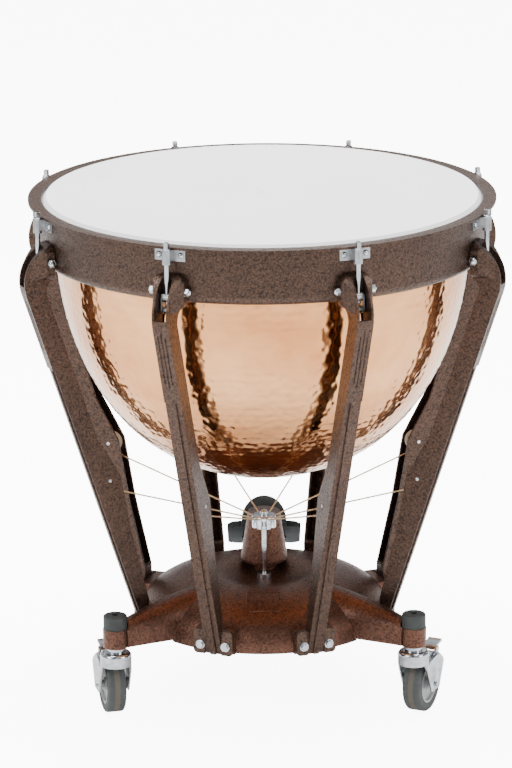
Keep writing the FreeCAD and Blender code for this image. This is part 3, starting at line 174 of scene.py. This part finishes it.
KETTLE_RADIUS = 0.3585
KETTLE_DEPTH = 0.466
KETTLE_ROUNDNESS = 2.25
KETTLE_WALL = 0.002
LIP_RADIUS = 0.3683
LIP_Z = 0.8840
RING_TOP_Z = 0.8580
VENT_RADIUS = 0.014
HAMMER_PITCH = 0.0145
HAMMER_DEPTH = 0.0011
MARK_JITTER = 0.45
MARK_REACH = 0.75
FADE_TOP = 0.02
FADE_VENT = 0.03
KETTLE_AROUND = 500
KETTLE_ROWS = 172


def grid_object(name, points, close_rows=False, close_columns=True):
    """A piece from a grid of points: each face joins two neighbours along a row to two in the
    next. The faces are turned over if the volume they enclose comes out negative, so that
    they face outwards."""
    rows, columns = points.shape[:2]
    index = np.arange(rows * columns).reshape(rows, columns)
    if close_rows:
        index = np.vstack([index, index[:1]])
    if close_columns:
        index = np.hstack([index, index[:, :1]])
    quads = np.stack([index[:-1, :-1], index[:-1, 1:], index[1:, 1:], index[1:, :-1]], -1)
    quads = quads.reshape(-1, 4)
    flat = points.reshape(-1, 3)
    corners = flat[quads]
    middle = flat.mean(0)
    first, second, third, fourth = (corners[:, i] - middle for i in range(4))
    volume = ((first * np.cross(second, third)).sum()
              + (first * np.cross(third, fourth)).sum())
    if volume < 0:
        quads = quads[:, ::-1]
    mesh = bpy.data.meshes.new(name)
    mesh.from_pydata(flat.tolist(), [], quads.tolist())
    mesh.shade_smooth()
    piece = bpy.data.objects.new(name, mesh)
    bpy.context.collection.objects.link(piece)
    return piece


def turned(profile, around):
    """Points of a profile (radius, height) turned round the drum's axis."""
    angle = np.linspace(0, 2 * np.pi, around, endpoint=False)
    radius, height = profile[:, :1], profile[:, 1:]
    return np.stack([radius * np.sin(angle), -radius * np.cos(angle),
                     height + 0 * angle], -1)


def kettle_curve(inset, rows):
    """Superellipse from the ring to the vent: radius and drop are powered cosine and sine."""
    power = 2.0 / KETTLE_ROUNDNESS
    radius, depth = KETTLE_RADIUS - inset, KETTLE_DEPTH - inset
    angle = np.linspace(0, math.acos((VENT_RADIUS / radius) ** (1 / power)), rows)
    drop = depth * np.sin(angle) ** power
    return np.stack([radius * np.cos(angle) ** power, RING_TOP_Z - drop], -1)


def even_rows(profile, rows):
    """The same profile with its points evenly spaced along its length, and those lengths."""
    run = np.concatenate([[0], np.cumsum(np.hypot(*np.diff(profile, axis=0).T))])
    where = np.linspace(0, run[-1], rows)
    even = np.stack([np.interp(where, run, profile[:, 0]),
                     np.interp(where, run, profile[:, 1])], -1)
    return even, where


def scatter(seed, spread=43758.5453):
    """A repeatable number from 0 to 1 for each seed: the fraction left of its sine times a
    large spread."""
    return np.mod(np.sin(seed) * spread, 1.0)


def hammer_marks(radius, run, angle):
    """Depth of the hammer marks: each row holds evenly spaced round marks, staggered and
    jittered, and the surface follows the nearest mark's shallow bowl, so that marks meet in
    low ridges."""
    nearest = np.full((len(run), len(angle)), 9.0)
    row_of_point = np.floor(run / HAMMER_PITCH)
    for offset in (-1, 0, 1):
        row = row_of_point + offset
        row_run = (row + 0.5) * HAMMER_PITCH
        row_radius = np.interp(row_run, run, radius)
        count = np.maximum(np.round(2 * np.pi * row_radius / HAMMER_PITCH), 5)
        stagger = scatter(row * 12.9898)
        for step in (-1, 0, 1):
            spot = angle[None, :] * count[:, None] / (2 * np.pi) - stagger[:, None]
            slot = np.floor(spot) + step
            wrapped = np.mod(slot, count[:, None])
            jitter = scatter(wrapped * 78.233 + row[:, None] * 37.719) - 0.5
            lift = scatter(wrapped * 39.346 + row[:, None] * 11.135, 24634.6345) - 0.5
            centre = slot + 0.5 + stagger[:, None] + MARK_JITTER * jitter
            centre = centre * 2 * np.pi / count[:, None]
            across = (angle[None, :] - centre) * radius[:, None]
            along = run[:, None] - row_run[:, None] - lift * MARK_JITTER * HAMMER_PITCH
            nearest = np.minimum(nearest, np.hypot(across, along))
    share = np.clip(nearest / (MARK_REACH * HAMMER_PITCH), 0, 1)
    return HAMMER_DEPTH * (1 - share ** 2)


outer, outer_run = even_rows(kettle_curve(0.0, 900), KETTLE_ROWS)
inner = kettle_curve(KETTLE_WALL, 10)[::-1]
inner_lip = LIP_RADIUS - KETTLE_WALL
rim_turn = np.radians(np.linspace(180, 0, 7))
rim = np.stack([LIP_RADIUS - KETTLE_WALL / 2 + KETTLE_WALL / 2 * np.cos(rim_turn),
                LIP_Z - KETTLE_WALL / 2 + KETTLE_WALL / 2 * np.sin(rim_turn)], -1)
shoulder = RING_TOP_Z + KETTLE_WALL
profile = np.vstack([outer, inner, [[inner[-1, 0], shoulder], [inner_lip, shoulder]], rim,
                     [[LIP_RADIUS, RING_TOP_Z]]])
points = turned(profile, KETTLE_AROUND)
around = np.linspace(0, 2 * np.pi, KETTLE_AROUND, endpoint=False)
depth = hammer_marks(outer[:, 0], outer_run, around)
below_ring = np.clip(outer_run / FADE_TOP, 0, 1)[:, None]
above_vent = np.clip((outer_run[-1] - outer_run) / FADE_VENT, 0, 1)[:, None]
depth *= below_ring * above_vent
slope = np.gradient(outer, axis=0)
normal = np.stack([-slope[:, 1], slope[:, 0]], -1) / np.hypot(*slope.T)[:, None]
normal *= np.sign(normal[:1, :1])
points[:KETTLE_ROWS, :, 0] -= depth * normal[:, :1] * np.sin(around)
points[:KETTLE_ROWS, :, 1] += depth * normal[:, :1] * np.cos(around)
points[:KETTLE_ROWS, :, 2] -= depth * normal[:, 1:]
kettle = grid_object("kettle", points, close_rows=True)

# Polished copper under lacquer: a warm pink metal, a tight highlight broken up by the hammer
# marks and by low ripples 12 mm apart, and faint darker clouds about 140 mm across.
RIPPLE_WIDTH = 0.012

copper, tree, place, shader = new_material("planished_copper")
clouds = add(tree, "ShaderNodeTexNoise", {"Vector": place, "Scale": 7.0, "Detail": 4.0})
tint = add(tree, "ShaderNodeValToRGB", {"Fac": clouds.outputs["Fac"]})
tint.color_ramp.elements[0].position = 0.3
tint.color_ramp.elements[0].color = linear("#cb8650")
tint.color_ramp.elements[1].position = 0.7
tint.color_ramp.elements[1].color = linear("#efb27c")
ripple = add(tree, "ShaderNodeTexVoronoi", {"Vector": place, "Scale": 1 / RIPPLE_WIDTH},
             feature="SMOOTH_F1")
gloss = add(tree, "ShaderNodeMapRange", {"Value": clouds.outputs["Fac"], "To Min": 0.10,
                                         "To Max": 0.20})
dents = add(tree, "ShaderNodeBump", {"Height": ripple.outputs["Distance"],
                                     "Strength": 0.6, "Distance": 0.0014})
tree.links.new(tint.outputs["Color"], shader.inputs["Base Color"])
tree.links.new(gloss.outputs["Result"], shader.inputs["Roughness"])
tree.links.new(dents.outputs["Normal"], shader.inputs["Normal"])
shader.inputs["Metallic"].default_value = 1.0
shader.inputs["Coat Weight"].default_value = 0.25
shader.inputs["Coat Roughness"].default_value = 0.05
kettle.data.materials.append(copper)
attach(kettle, "frame")
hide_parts("bowl")

# ---- Head -------------------------------------------------------------------
# One sheet of matt white polyester film, heat-formed over the bearing edge and crimped into
# a flesh hoop. The playing area is flat; a short collar slopes down and outwards to the hoop.

HEAD_TOP_Z = 0.8846
FILM = 0.0005
FILM_CENTRE = 0.0004
COLLAR_MIDDLE = (0.3722, 0.8787)
COLLAR_FOOT = (0.3745, 0.8764)
COLLAR_TUCK = 0.0006
BEND_RADIUS = 0.0026
BEND_INSET = 0.0008
BEND_TURN = 62
FLAT_ROWS = 34
HEAD_AROUND = 288

bend = np.radians(np.linspace(0, BEND_TURN, 9))
bend_centre = (LIP_RADIUS - BEND_INSET, HEAD_TOP_Z - BEND_RADIUS)
flat = np.stack([np.linspace(FILM_CENTRE, bend_centre[0] - 0.002, FLAT_ROWS),
                 np.full(FLAT_ROWS, HEAD_TOP_Z)], -1)
over = np.array(bend_centre) + BEND_RADIUS * np.stack([np.sin(bend), np.cos(bend)], -1)
foot = np.array([COLLAR_MIDDLE, (COLLAR_FOOT[0], COLLAR_FOOT[1] + COLLAR_TUCK), COLLAR_FOOT])
upper = np.vstack([flat, over, foot])
lower = upper[::-1][1:] - np.array([0.0, FILM])
points = turned(np.vstack([upper, lower]), HEAD_AROUND)
film = grid_object("head_sheet", points, close_rows=True)

# Smooth matt polyester film: nearly white, with a very faint mottle 200 mm across from
# playing and the fine satin grain of the sheet.
polyester, tree, place, shader = new_material("matt_polyester_film")
mottle = add(tree, "ShaderNodeTexNoise", {"Vector": place, "Scale": 5.0, "Detail": 5.0,
                                          "Roughness": 0.6})
tint = add(tree, "ShaderNodeValToRGB", {"Fac": mottle.outputs["Fac"]})
tint.color_ramp.elements[0].color = linear("#f3f3f4")
tint.color_ramp.elements[1].color = linear("#fbfbfc")
satin = add(tree, "ShaderNodeTexNoise", {"Vector": place, "Scale": 700.0, "Detail": 2.0})
relief = add(tree, "ShaderNodeBump", {"Height": satin.outputs["Fac"], "Strength": 0.12,
                                      "Distance": 0.0003})
sheen = add(tree, "ShaderNodeMapRange", {"Value": mottle.outputs["Fac"], "To Min": 0.42,
                                         "To Max": 0.55})
tree.links.new(tint.outputs["Color"], shader.inputs["Base Color"])
tree.links.new(sheen.outputs["Result"], shader.inputs["Roughness"])
tree.links.new(relief.outputs["Normal"], shader.inputs["Normal"])
shader.inputs["IOR"].default_value = 1.57
film.data.materials.append(polyester)
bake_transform(film)
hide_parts("head_film")

# ---- Ring, hoop and struts --------------------------------------------------
# The support ring and the eight struts are cast aluminium, the counterhoop is rolled steel.
# All are sprayed with the same copper-brown hammertone enamel, so they share one finish.


def finish_with(material, *names):
    """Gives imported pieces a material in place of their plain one."""
    for name in names:
        for slot in frame["nodes"][name].material_slots:
            slot.material = material


def hammertone(name, dark, light, cell_mm, metallic):
    """Hammertone enamel: aluminium flake gathers into small cells with darker rims. The cells
    are drawn cell_mm wide, coarser than real ones, so that they show."""
    material, tree, place, shader = new_material(name)
    warp = add(tree, "ShaderNodeTexNoise", {"Vector": place, "Scale": 90.0, "Detail": 2.0})
    bent = add(tree, "ShaderNodeMix", {"Factor": 0.012, 4: place, 5: warp.outputs["Color"]},
               data_type="VECTOR")
    cells = add(tree, "ShaderNodeTexVoronoi", {"Vector": bent.outputs[1],
                                               "Scale": 1000.0 / cell_mm}, feature="SMOOTH_F1")
    patches = add(tree, "ShaderNodeTexNoise", {"Vector": place, "Scale": 9.0, "Detail": 3.0})
    both = add(tree, "ShaderNodeMath", {0: patches.outputs["Fac"], 1: 0.3,
                                        2: cells.outputs["Distance"]}, operation="MULTIPLY_ADD")
    tint = add(tree, "ShaderNodeValToRGB", {"Fac": both.outputs[0]})
    tint.color_ramp.elements[0].position = 0.3
    tint.color_ramp.elements[0].color = linear(light)
    tint.color_ramp.elements[1].position = 0.85
    tint.color_ramp.elements[1].color = linear(dark)
    soft = add(tree, "ShaderNodeBevel", {"Radius": 0.0012}, samples=3)
    relief = add(tree, "ShaderNodeBump", {"Height": cells.outputs["Distance"], "Strength": 0.7,
                                          "Distance": 0.0010, "Normal": soft.outputs["Normal"]},
                 invert=True)
    gloss = add(tree, "ShaderNodeMapRange", {"Value": cells.outputs["Distance"],
                                             "From Max": 0.8, "To Min": 0.28, "To Max": 0.48})
    tree.links.new(tint.outputs["Color"], shader.inputs["Base Color"])
    tree.links.new(gloss.outputs["Result"], shader.inputs["Roughness"])
    tree.links.new(relief.outputs["Normal"], shader.inputs["Normal"])
    shader.inputs["Metallic"].default_value = metallic
    shader.inputs["Coat Weight"].default_value = 0.1
    shader.inputs["Coat Roughness"].default_value = 0.3
    return material


enamel = hammertone("copper_hammertone_enamel", "#2f231c", "#5a4337", 3.0, 0.75)
finish_with(enamel, "counterhoop", "support_ring", "front_struts", "side_front_struts",
            "side_rear_struts", "rear_struts")

# ---- Flesh hoop -------------------------------------------------------------
# A channel of drawn aluminium that grips the film's crimped edge under the counterhoop.
# It has been left bare, so it shows fine draw lines round the drum and a dull grey shine.

drawn, tree, place, shader = new_material("drawn_aluminium")
along = add(tree, "ShaderNodeMapping", {"Vector": place, "Scale": (8.0, 8.0, 900.0)})
lines = add(tree, "ShaderNodeTexNoise", {"Vector": along.outputs["Vector"], "Scale": 1.0,
                                         "Detail": 3.0})
tint = add(tree, "ShaderNodeValToRGB", {"Fac": lines.outputs["Fac"]})
tint.color_ramp.elements[0].color = linear("#8d8e90")
tint.color_ramp.elements[1].color = linear("#c4c5c7")
gloss = add(tree, "ShaderNodeMapRange", {"Value": lines.outputs["Fac"], "To Min": 0.3,
                                         "To Max": 0.5})
tree.links.new(tint.outputs["Color"], shader.inputs["Base Color"])
tree.links.new(gloss.outputs["Result"], shader.inputs["Roughness"])
shader.inputs["Metallic"].default_value = 1.0
finish_with(drawn, "flesh_hoop")

# ---- Rods, clips, clevises and bolts ----------------------------------------
# Turned and pressed steel: bright chrome plate on the rods, bolts, screws and pins, and duller
# zinc plate on the clips, clevises and links. Plate keeps the steel's faint waviness, and
# fingers leave cloudy marks on it.

STATIONS = 8


def plated(name, dark, light, rough_low, rough_high, wave_mm):
    """Plated steel: colour and roughness drift in soft clouds over low ripples wave_mm long."""
    material, tree, place, shader = new_material(name)
    clouds = add(tree, "ShaderNodeTexNoise", {"Vector": place, "Scale": 60.0, "Detail": 4.0})
    waves = add(tree, "ShaderNodeTexNoise", {"Vector": place, "Scale": 1000.0 / wave_mm,
                                             "Detail": 2.0})
    tint = add(tree, "ShaderNodeValToRGB", {"Fac": clouds.outputs["Fac"]})
    tint.color_ramp.elements[0].position = 0.3
    tint.color_ramp.elements[0].color = linear(dark)
    tint.color_ramp.elements[1].position = 0.7
    tint.color_ramp.elements[1].color = linear(light)
    gloss = add(tree, "ShaderNodeMapRange", {"Value": clouds.outputs["Fac"], "To Min": rough_low,
                                             "To Max": rough_high})
    soft = add(tree, "ShaderNodeBevel", {"Radius": 0.0006}, samples=3)
    relief = add(tree, "ShaderNodeBump", {"Height": waves.outputs["Fac"], "Strength": 0.15,
                                          "Distance": 0.0004, "Normal": soft.outputs["Normal"]})
    tree.links.new(tint.outputs["Color"], shader.inputs["Base Color"])
    tree.links.new(gloss.outputs["Result"], shader.inputs["Roughness"])
    tree.links.new(relief.outputs["Normal"], shader.inputs["Normal"])
    shader.inputs["Metallic"].default_value = 1.0
    return material


chrome = plated("chrome_plated_steel", "#9ea2a8", "#d5d8dc", 0.06, 0.18, 5.0)
zinc = plated("zinc_plated_steel", "#8e9094", "#b6b8ba", 0.25, 0.42, 2.5)
finish_with(chrome, "strut_top_bolts", "strut_foot_bolts", "clip_screws", "pulley_axles",
            "pivot_shafts", "clevis_pins",
            *["tension_rod_%d" % (number + 1) for number in range(STATIONS)])
finish_with(zinc, "rod_clips", "clevis_links", "barrel_nuts", "cable_eyes", "pedal_link",
            "rocker_lever", "pull_rod_bush")

# ---- Pull rod and cable hub -------------------------------------------------
# The hub is a turned and slotted crown on a bright rod. The pedal draws both down through
# the bush in the base, and the eight cables with them.

finish_with(chrome, "pull_rod", "cable_hub")

# ---- Cables and pulleys -----------------------------------------------------
# Each cable is a three-strand twisted wire rope, drawn tight from the hub, under a moulded
# pulley in the strut and up the strut's channel to the clevis on its tension rod.

CABLE_RADIUS = 0.0016
CABLE_LAY = 0.016
STRANDS = 3
STRAND_SIDES = 6
STRAND_SHARE = 0.52
ROPE_STEP = 0.003
PULLEY_PITCH = 0.016
HUB_CABLE = (0.0215, 0.303)
PULLEY = (0.290, 0.408)
CLEVIS = (0.407, 0.776)
CABLE_END = 0.012
FIRST_AZIMUTH = 22.5


def rope(name, path, azimuth):
    """Strands twisted round a path in one of the drum's radial planes: each strand's centre
    turns about the path once per lay length, and a small circle is carried along it."""
    run = np.concatenate([[0], np.cumsum(np.hypot(*np.diff(path, axis=0).T))])
    where = np.linspace(0, run[-1], max(int(run[-1] / ROPE_STEP), 12))
    centre = np.stack([np.interp(where, run, path[:, 0]), 0 * where,
                       np.interp(where, run, path[:, 1])], -1)
    ahead = np.gradient(centre, axis=0)
    ahead /= np.linalg.norm(ahead, axis=1, keepdims=True)
    side = np.array([0.0, 1.0, 0.0])
    up = np.cross(ahead, side)
    strand_radius = CABLE_RADIUS * STRAND_SHARE
    strands = []
    for strand in range(STRANDS):
        phase = 2 * np.pi * (where / CABLE_LAY + strand / STRANDS)
        middle = centre + (CABLE_RADIUS - strand_radius) * (np.cos(phase)[:, None] * side
                                                            + np.sin(phase)[:, None] * up)
        ring = np.linspace(0, 2 * np.pi, STRAND_SIDES, endpoint=False)
        circle = strand_radius * (np.cos(ring)[None, :, None] * side
                                  + np.sin(ring)[None, :, None] * up[:, None])
        strands.append(np.concatenate([np.repeat(middle[:1, None], STRAND_SIDES, 1),
                                       middle[:, None] + circle,
                                       np.repeat(middle[-1:, None], STRAND_SIDES, 1)]))
    turn = math.radians(azimuth - 90.0)
    flat = np.concatenate(strands)
    x, y, z = flat[..., 0], flat[..., 1], flat[..., 2]
    flat = np.stack([x * math.cos(turn) - y * math.sin(turn),
                     x * math.sin(turn) + y * math.cos(turn), z], -1)
    index = np.arange(flat.shape[0] * STRAND_SIDES).reshape(STRANDS, -1, STRAND_SIDES)
    index = np.concatenate([index, index[:, :, :1]], 2)
    quads = np.stack([index[:, :-1, :-1], index[:, 1:, :-1], index[:, 1:, 1:],
                      index[:, :-1, 1:]], -1)
    mesh = bpy.data.meshes.new(name)
    mesh.from_pydata(flat.reshape(-1, 3).tolist(), [], quads.reshape(-1, 4).tolist())
    mesh.shade_smooth()
    piece = bpy.data.objects.new(name, mesh)
    bpy.context.collection.objects.link(piece)
    return piece


# Each straight run leaves the pulley along a tangent: the angle of the line between centres,
# less or plus the angle whose sine is the pitch radius over that line's length.
reach = math.hypot(PULLEY[0] - HUB_CABLE[0], PULLEY[1] - HUB_CABLE[1])
low_angle = (math.atan2(PULLEY[1] - HUB_CABLE[1], PULLEY[0] - HUB_CABLE[0])
             - math.asin(PULLEY_PITCH / reach))
rise = math.hypot(CLEVIS[0] - PULLEY[0], CLEVIS[1] - PULLEY[1])
high_angle = (math.atan2(CLEVIS[1] - PULLEY[1], CLEVIS[0] - PULLEY[0])
              + math.asin(PULLEY_PITCH / rise))
half_way = (low_angle + high_angle) / 2


def round_pulley(first, last):
    """Points of the cable's centre line round the pulley between two wrap angles."""
    angle = np.linspace(first, last, 9)
    return np.stack([PULLEY[0] + PULLEY_PITCH * np.sin(angle),
                     PULLEY[1] - PULLEY_PITCH * np.cos(angle)], -1)


cable_top = (CLEVIS[0] - CABLE_END * math.cos(high_angle),
             CLEVIS[1] - CABLE_END * math.sin(high_angle))
lower_path = np.vstack([[HUB_CABLE], round_pulley(low_angle, half_way)])
upper_path = np.vstack([round_pulley(half_way, high_angle), [cable_top]])

# Twisted bronze-coated steel wire: tan, mottled a millimetre at a time in colour and shine, as
# the single wires in each strand catch the light.
wire, tree, place, shader = new_material("bronze_wire_rope")
streak = add(tree, "ShaderNodeTexNoise", {"Vector": place, "Scale": 900.0, "Detail": 2.0})
tint = add(tree, "ShaderNodeValToRGB", {"Fac": streak.outputs["Fac"]})
tint.color_ramp.elements[0].color = linear("#a08662")
tint.color_ramp.elements[1].color = linear("#e6d3b0")
gloss = add(tree, "ShaderNodeMapRange", {"Value": streak.outputs["Fac"], "To Min": 0.3,
                                         "To Max": 0.5})
tree.links.new(tint.outputs["Color"], shader.inputs["Base Color"])
tree.links.new(gloss.outputs["Result"], shader.inputs["Roughness"])
shader.inputs["Metallic"].default_value = 0.85

for number in range(STATIONS):
    azimuth = FIRST_AZIMUTH + 360.0 / STATIONS * number
    low = rope("cable_lower_%d" % (number + 1), lower_path, azimuth)
    high = rope("cable_upper_%d" % (number + 1), upper_path, azimuth)
    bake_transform(low)
    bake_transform(high)
    for piece in (low, high):
        piece.data.materials.append(wire)
        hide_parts("tension_cables")


def moulded(name, dark, light, grain_mm, depth_mm, roughness, specular=0.5):
    """Moulded rubber or plastic: broad cloudy flow marks in the colour, a fine pitted skin
    grain_mm wide and depth_mm deep, rounded edges, and a shine that changes a little with the
    flow marks."""
    material, tree, place, shader = new_material(name)
    flow = add(tree, "ShaderNodeTexNoise", {"Vector": place, "Scale": 30.0, "Detail": 5.0})
    skin = add(tree, "ShaderNodeTexNoise", {"Vector": place, "Scale": 1000.0 / grain_mm,
                                            "Detail": 3.0})
    tint = add(tree, "ShaderNodeValToRGB", {"Fac": flow.outputs["Fac"]})
    tint.color_ramp.elements[0].position = 0.3
    tint.color_ramp.elements[0].color = linear(dark)
    tint.color_ramp.elements[1].position = 0.7
    tint.color_ramp.elements[1].color = linear(light)
    soft = add(tree, "ShaderNodeBevel", {"Radius": 0.0012}, samples=3)
    relief = add(tree, "ShaderNodeBump", {"Height": skin.outputs["Fac"], "Strength": 0.3,
                                          "Distance": depth_mm / 1000.0,
                                          "Normal": soft.outputs["Normal"]})
    gloss = add(tree, "ShaderNodeMapRange", {"Value": flow.outputs["Fac"],
                                             "To Min": roughness - 0.08,
                                             "To Max": roughness + 0.08})
    tree.links.new(tint.outputs["Color"], shader.inputs["Base Color"])
    tree.links.new(gloss.outputs["Result"], shader.inputs["Roughness"])
    tree.links.new(relief.outputs["Normal"], shader.inputs["Normal"])
    shader.inputs["Specular IOR Level"].default_value = specular
    return material


# The pulleys are moulded in natural nylon: an ivory plastic with a soft shine.
nylon = moulded("moulded_nylon", "#b4ad9c", "#d4cfc1", 4.0, 0.4, 0.45)
finish_with(nylon, *["cable_pulley_%d" % (number + 1) for number in range(STATIONS)])

# ---- Base and tower ---------------------------------------------------------
# The base is one sand casting: a dished dome with three arms out to the casters. The tower
# over the balance spring is cast too. Both have a brighter, more metallic coat of the enamel.

base_enamel = hammertone("bright_copper_hammertone", "#402b22", "#6c4838", 3.0, 0.85)
finish_with(base_enamel, "base_casting", "mechanism_tower")

# ---- Balance spring ---------------------------------------------------------
# Oil-blackened spring wire, seen only from underneath.

spring_wire = plated("oiled_spring_wire", "#2c2d2f", "#4b4d50", 0.3, 0.45, 2.0)
finish_with(spring_wire, "balance_spring")

# ---- Pedal ------------------------------------------------------------------
# A treadle and toe cup with a dull slate-grey moulded skin, and a ribbed black rubber mat for
# the player's foot.

pedal_skin = moulded("slate_moulding", "#272c2e", "#3b4143", 1.5, 0.3, 0.75, specular=0.08)
finish_with(pedal_skin, "pedal_treadle", "toe_hood")

RIB_SPACING = 0.006
PEDAL_SLOPE = 26.0

# Moulded black rubber: ribs RIB_SPACING apart across the treadle, dull, with grey dust in
# places. A wave of scale 1 repeats every pi / 10 metres.
mat, tree, place, shader = new_material("ribbed_rubber")
level = add(tree, "ShaderNodeMapping", {"Vector": place,
                                        "Rotation": (math.radians(PEDAL_SLOPE), 0, 0)})
ribs = add(tree, "ShaderNodeTexWave", {"Vector": level.outputs["Vector"],
                                       "Scale": math.pi / 10 / RIB_SPACING}, bands_direction="Y")
dust = add(tree, "ShaderNodeTexNoise", {"Vector": place, "Scale": 30.0, "Detail": 5.0})
tint = add(tree, "ShaderNodeValToRGB", {"Fac": dust.outputs["Fac"]})
tint.color_ramp.elements[0].position = 0.4
tint.color_ramp.elements[0].color = linear("#1d1f1f")
tint.color_ramp.elements[1].position = 0.8
tint.color_ramp.elements[1].color = linear("#3c3e3d")
relief = add(tree, "ShaderNodeBump", {"Height": ribs.outputs["Fac"], "Strength": 0.9,
                                      "Distance": 0.001})
tree.links.new(tint.outputs["Color"], shader.inputs["Base Color"])
tree.links.new(relief.outputs["Normal"], shader.inputs["Normal"])
shader.inputs["Roughness"].default_value = 0.75
finish_with(mat, "pedal_pad")

# ---- Arm caps ---------------------------------------------------------------
# Round rubber buffers pressed over the front arms' ends, moulded with a screw recess.

buffer = moulded("charcoal_rubber", "#1b1f1f", "#303634", 2.0, 0.5, 0.6)
finish_with(buffer, "arm_caps")

# ---- Casters ----------------------------------------------------------------
# Pressed and chromed fork and brake lever, a pale moulded wheel and a grey rubber tyre. The
# tyre's tread has a tan band worn along its middle, about 9 mm wide with soft edges.

BAND_INNER = 0.0035
BAND_OUTER = 0.0055

wheel_plastic = moulded("moulded_wheel_plastic", "#9b9e9e", "#bcbfbe", 8.0, 0.6, 0.42)

rolls = {joint["name"]: joint for joint in frame["joints"]}
for side in ("left", "right", "rear"):
    finish_with(chrome, "caster_fork_" + side, "caster_brake_" + side)
    finish_with(wheel_plastic, "caster_wheel_" + side)
    roll = rolls["caster_roll_" + side]
    axle = np.array(roll["axis"])
    heading = math.atan2(axle[1], axle[0]) - math.pi / 2
    centre = np.array(roll["pos_m"])
    spin = np.array([[math.cos(heading), math.sin(heading), 0],
                     [-math.sin(heading), math.cos(heading), 0], [0, 0, 1]])
    # Grey rubber with fine dust: the mapping centres it on the wheel and turns its axle to Y,
    # so that the worn band lies where the distance along the axle is small.
    rubber, tree, place, shader = new_material("tyre_rubber_" + side)
    local = add(tree, "ShaderNodeMapping", {"Vector": place, "Rotation": (0, 0, -heading),
                                            "Location": tuple(-spin @ centre)})
    parts = add(tree, "ShaderNodeSeparateXYZ", {"Vector": local.outputs["Vector"]})
    across = add(tree, "ShaderNodeMath", {0: parts.outputs["Y"]}, operation="ABSOLUTE")
    band = add(tree, "ShaderNodeMapRange", {"Value": across.outputs[0],
                                            "From Min": BAND_INNER, "From Max": BAND_OUTER,
                                            "To Min": 1.0, "To Max": 0.0})
    dust = add(tree, "ShaderNodeTexNoise", {"Vector": place, "Scale": 120.0, "Detail": 4.0})
    tint = add(tree, "ShaderNodeValToRGB", {"Fac": dust.outputs["Fac"]})
    tint.color_ramp.elements[0].color = linear("#343838")
    tint.color_ramp.elements[1].color = linear("#4c504f")
    worn = add(tree, "ShaderNodeMix", {"Factor": band.outputs["Result"],
                                       6: tint.outputs["Color"], 7: linear("#59534a")},
               data_type="RGBA")
    relief = add(tree, "ShaderNodeBump", {"Height": dust.outputs["Fac"], "Strength": 0.25,
                                          "Distance": 0.0006})
    tree.links.new(worn.outputs[2], shader.inputs["Base Color"])
    tree.links.new(relief.outputs["Normal"], shader.inputs["Normal"])
    shader.inputs["Roughness"].default_value = 0.65
    finish_with(rubber, "caster_tyre_" + side)
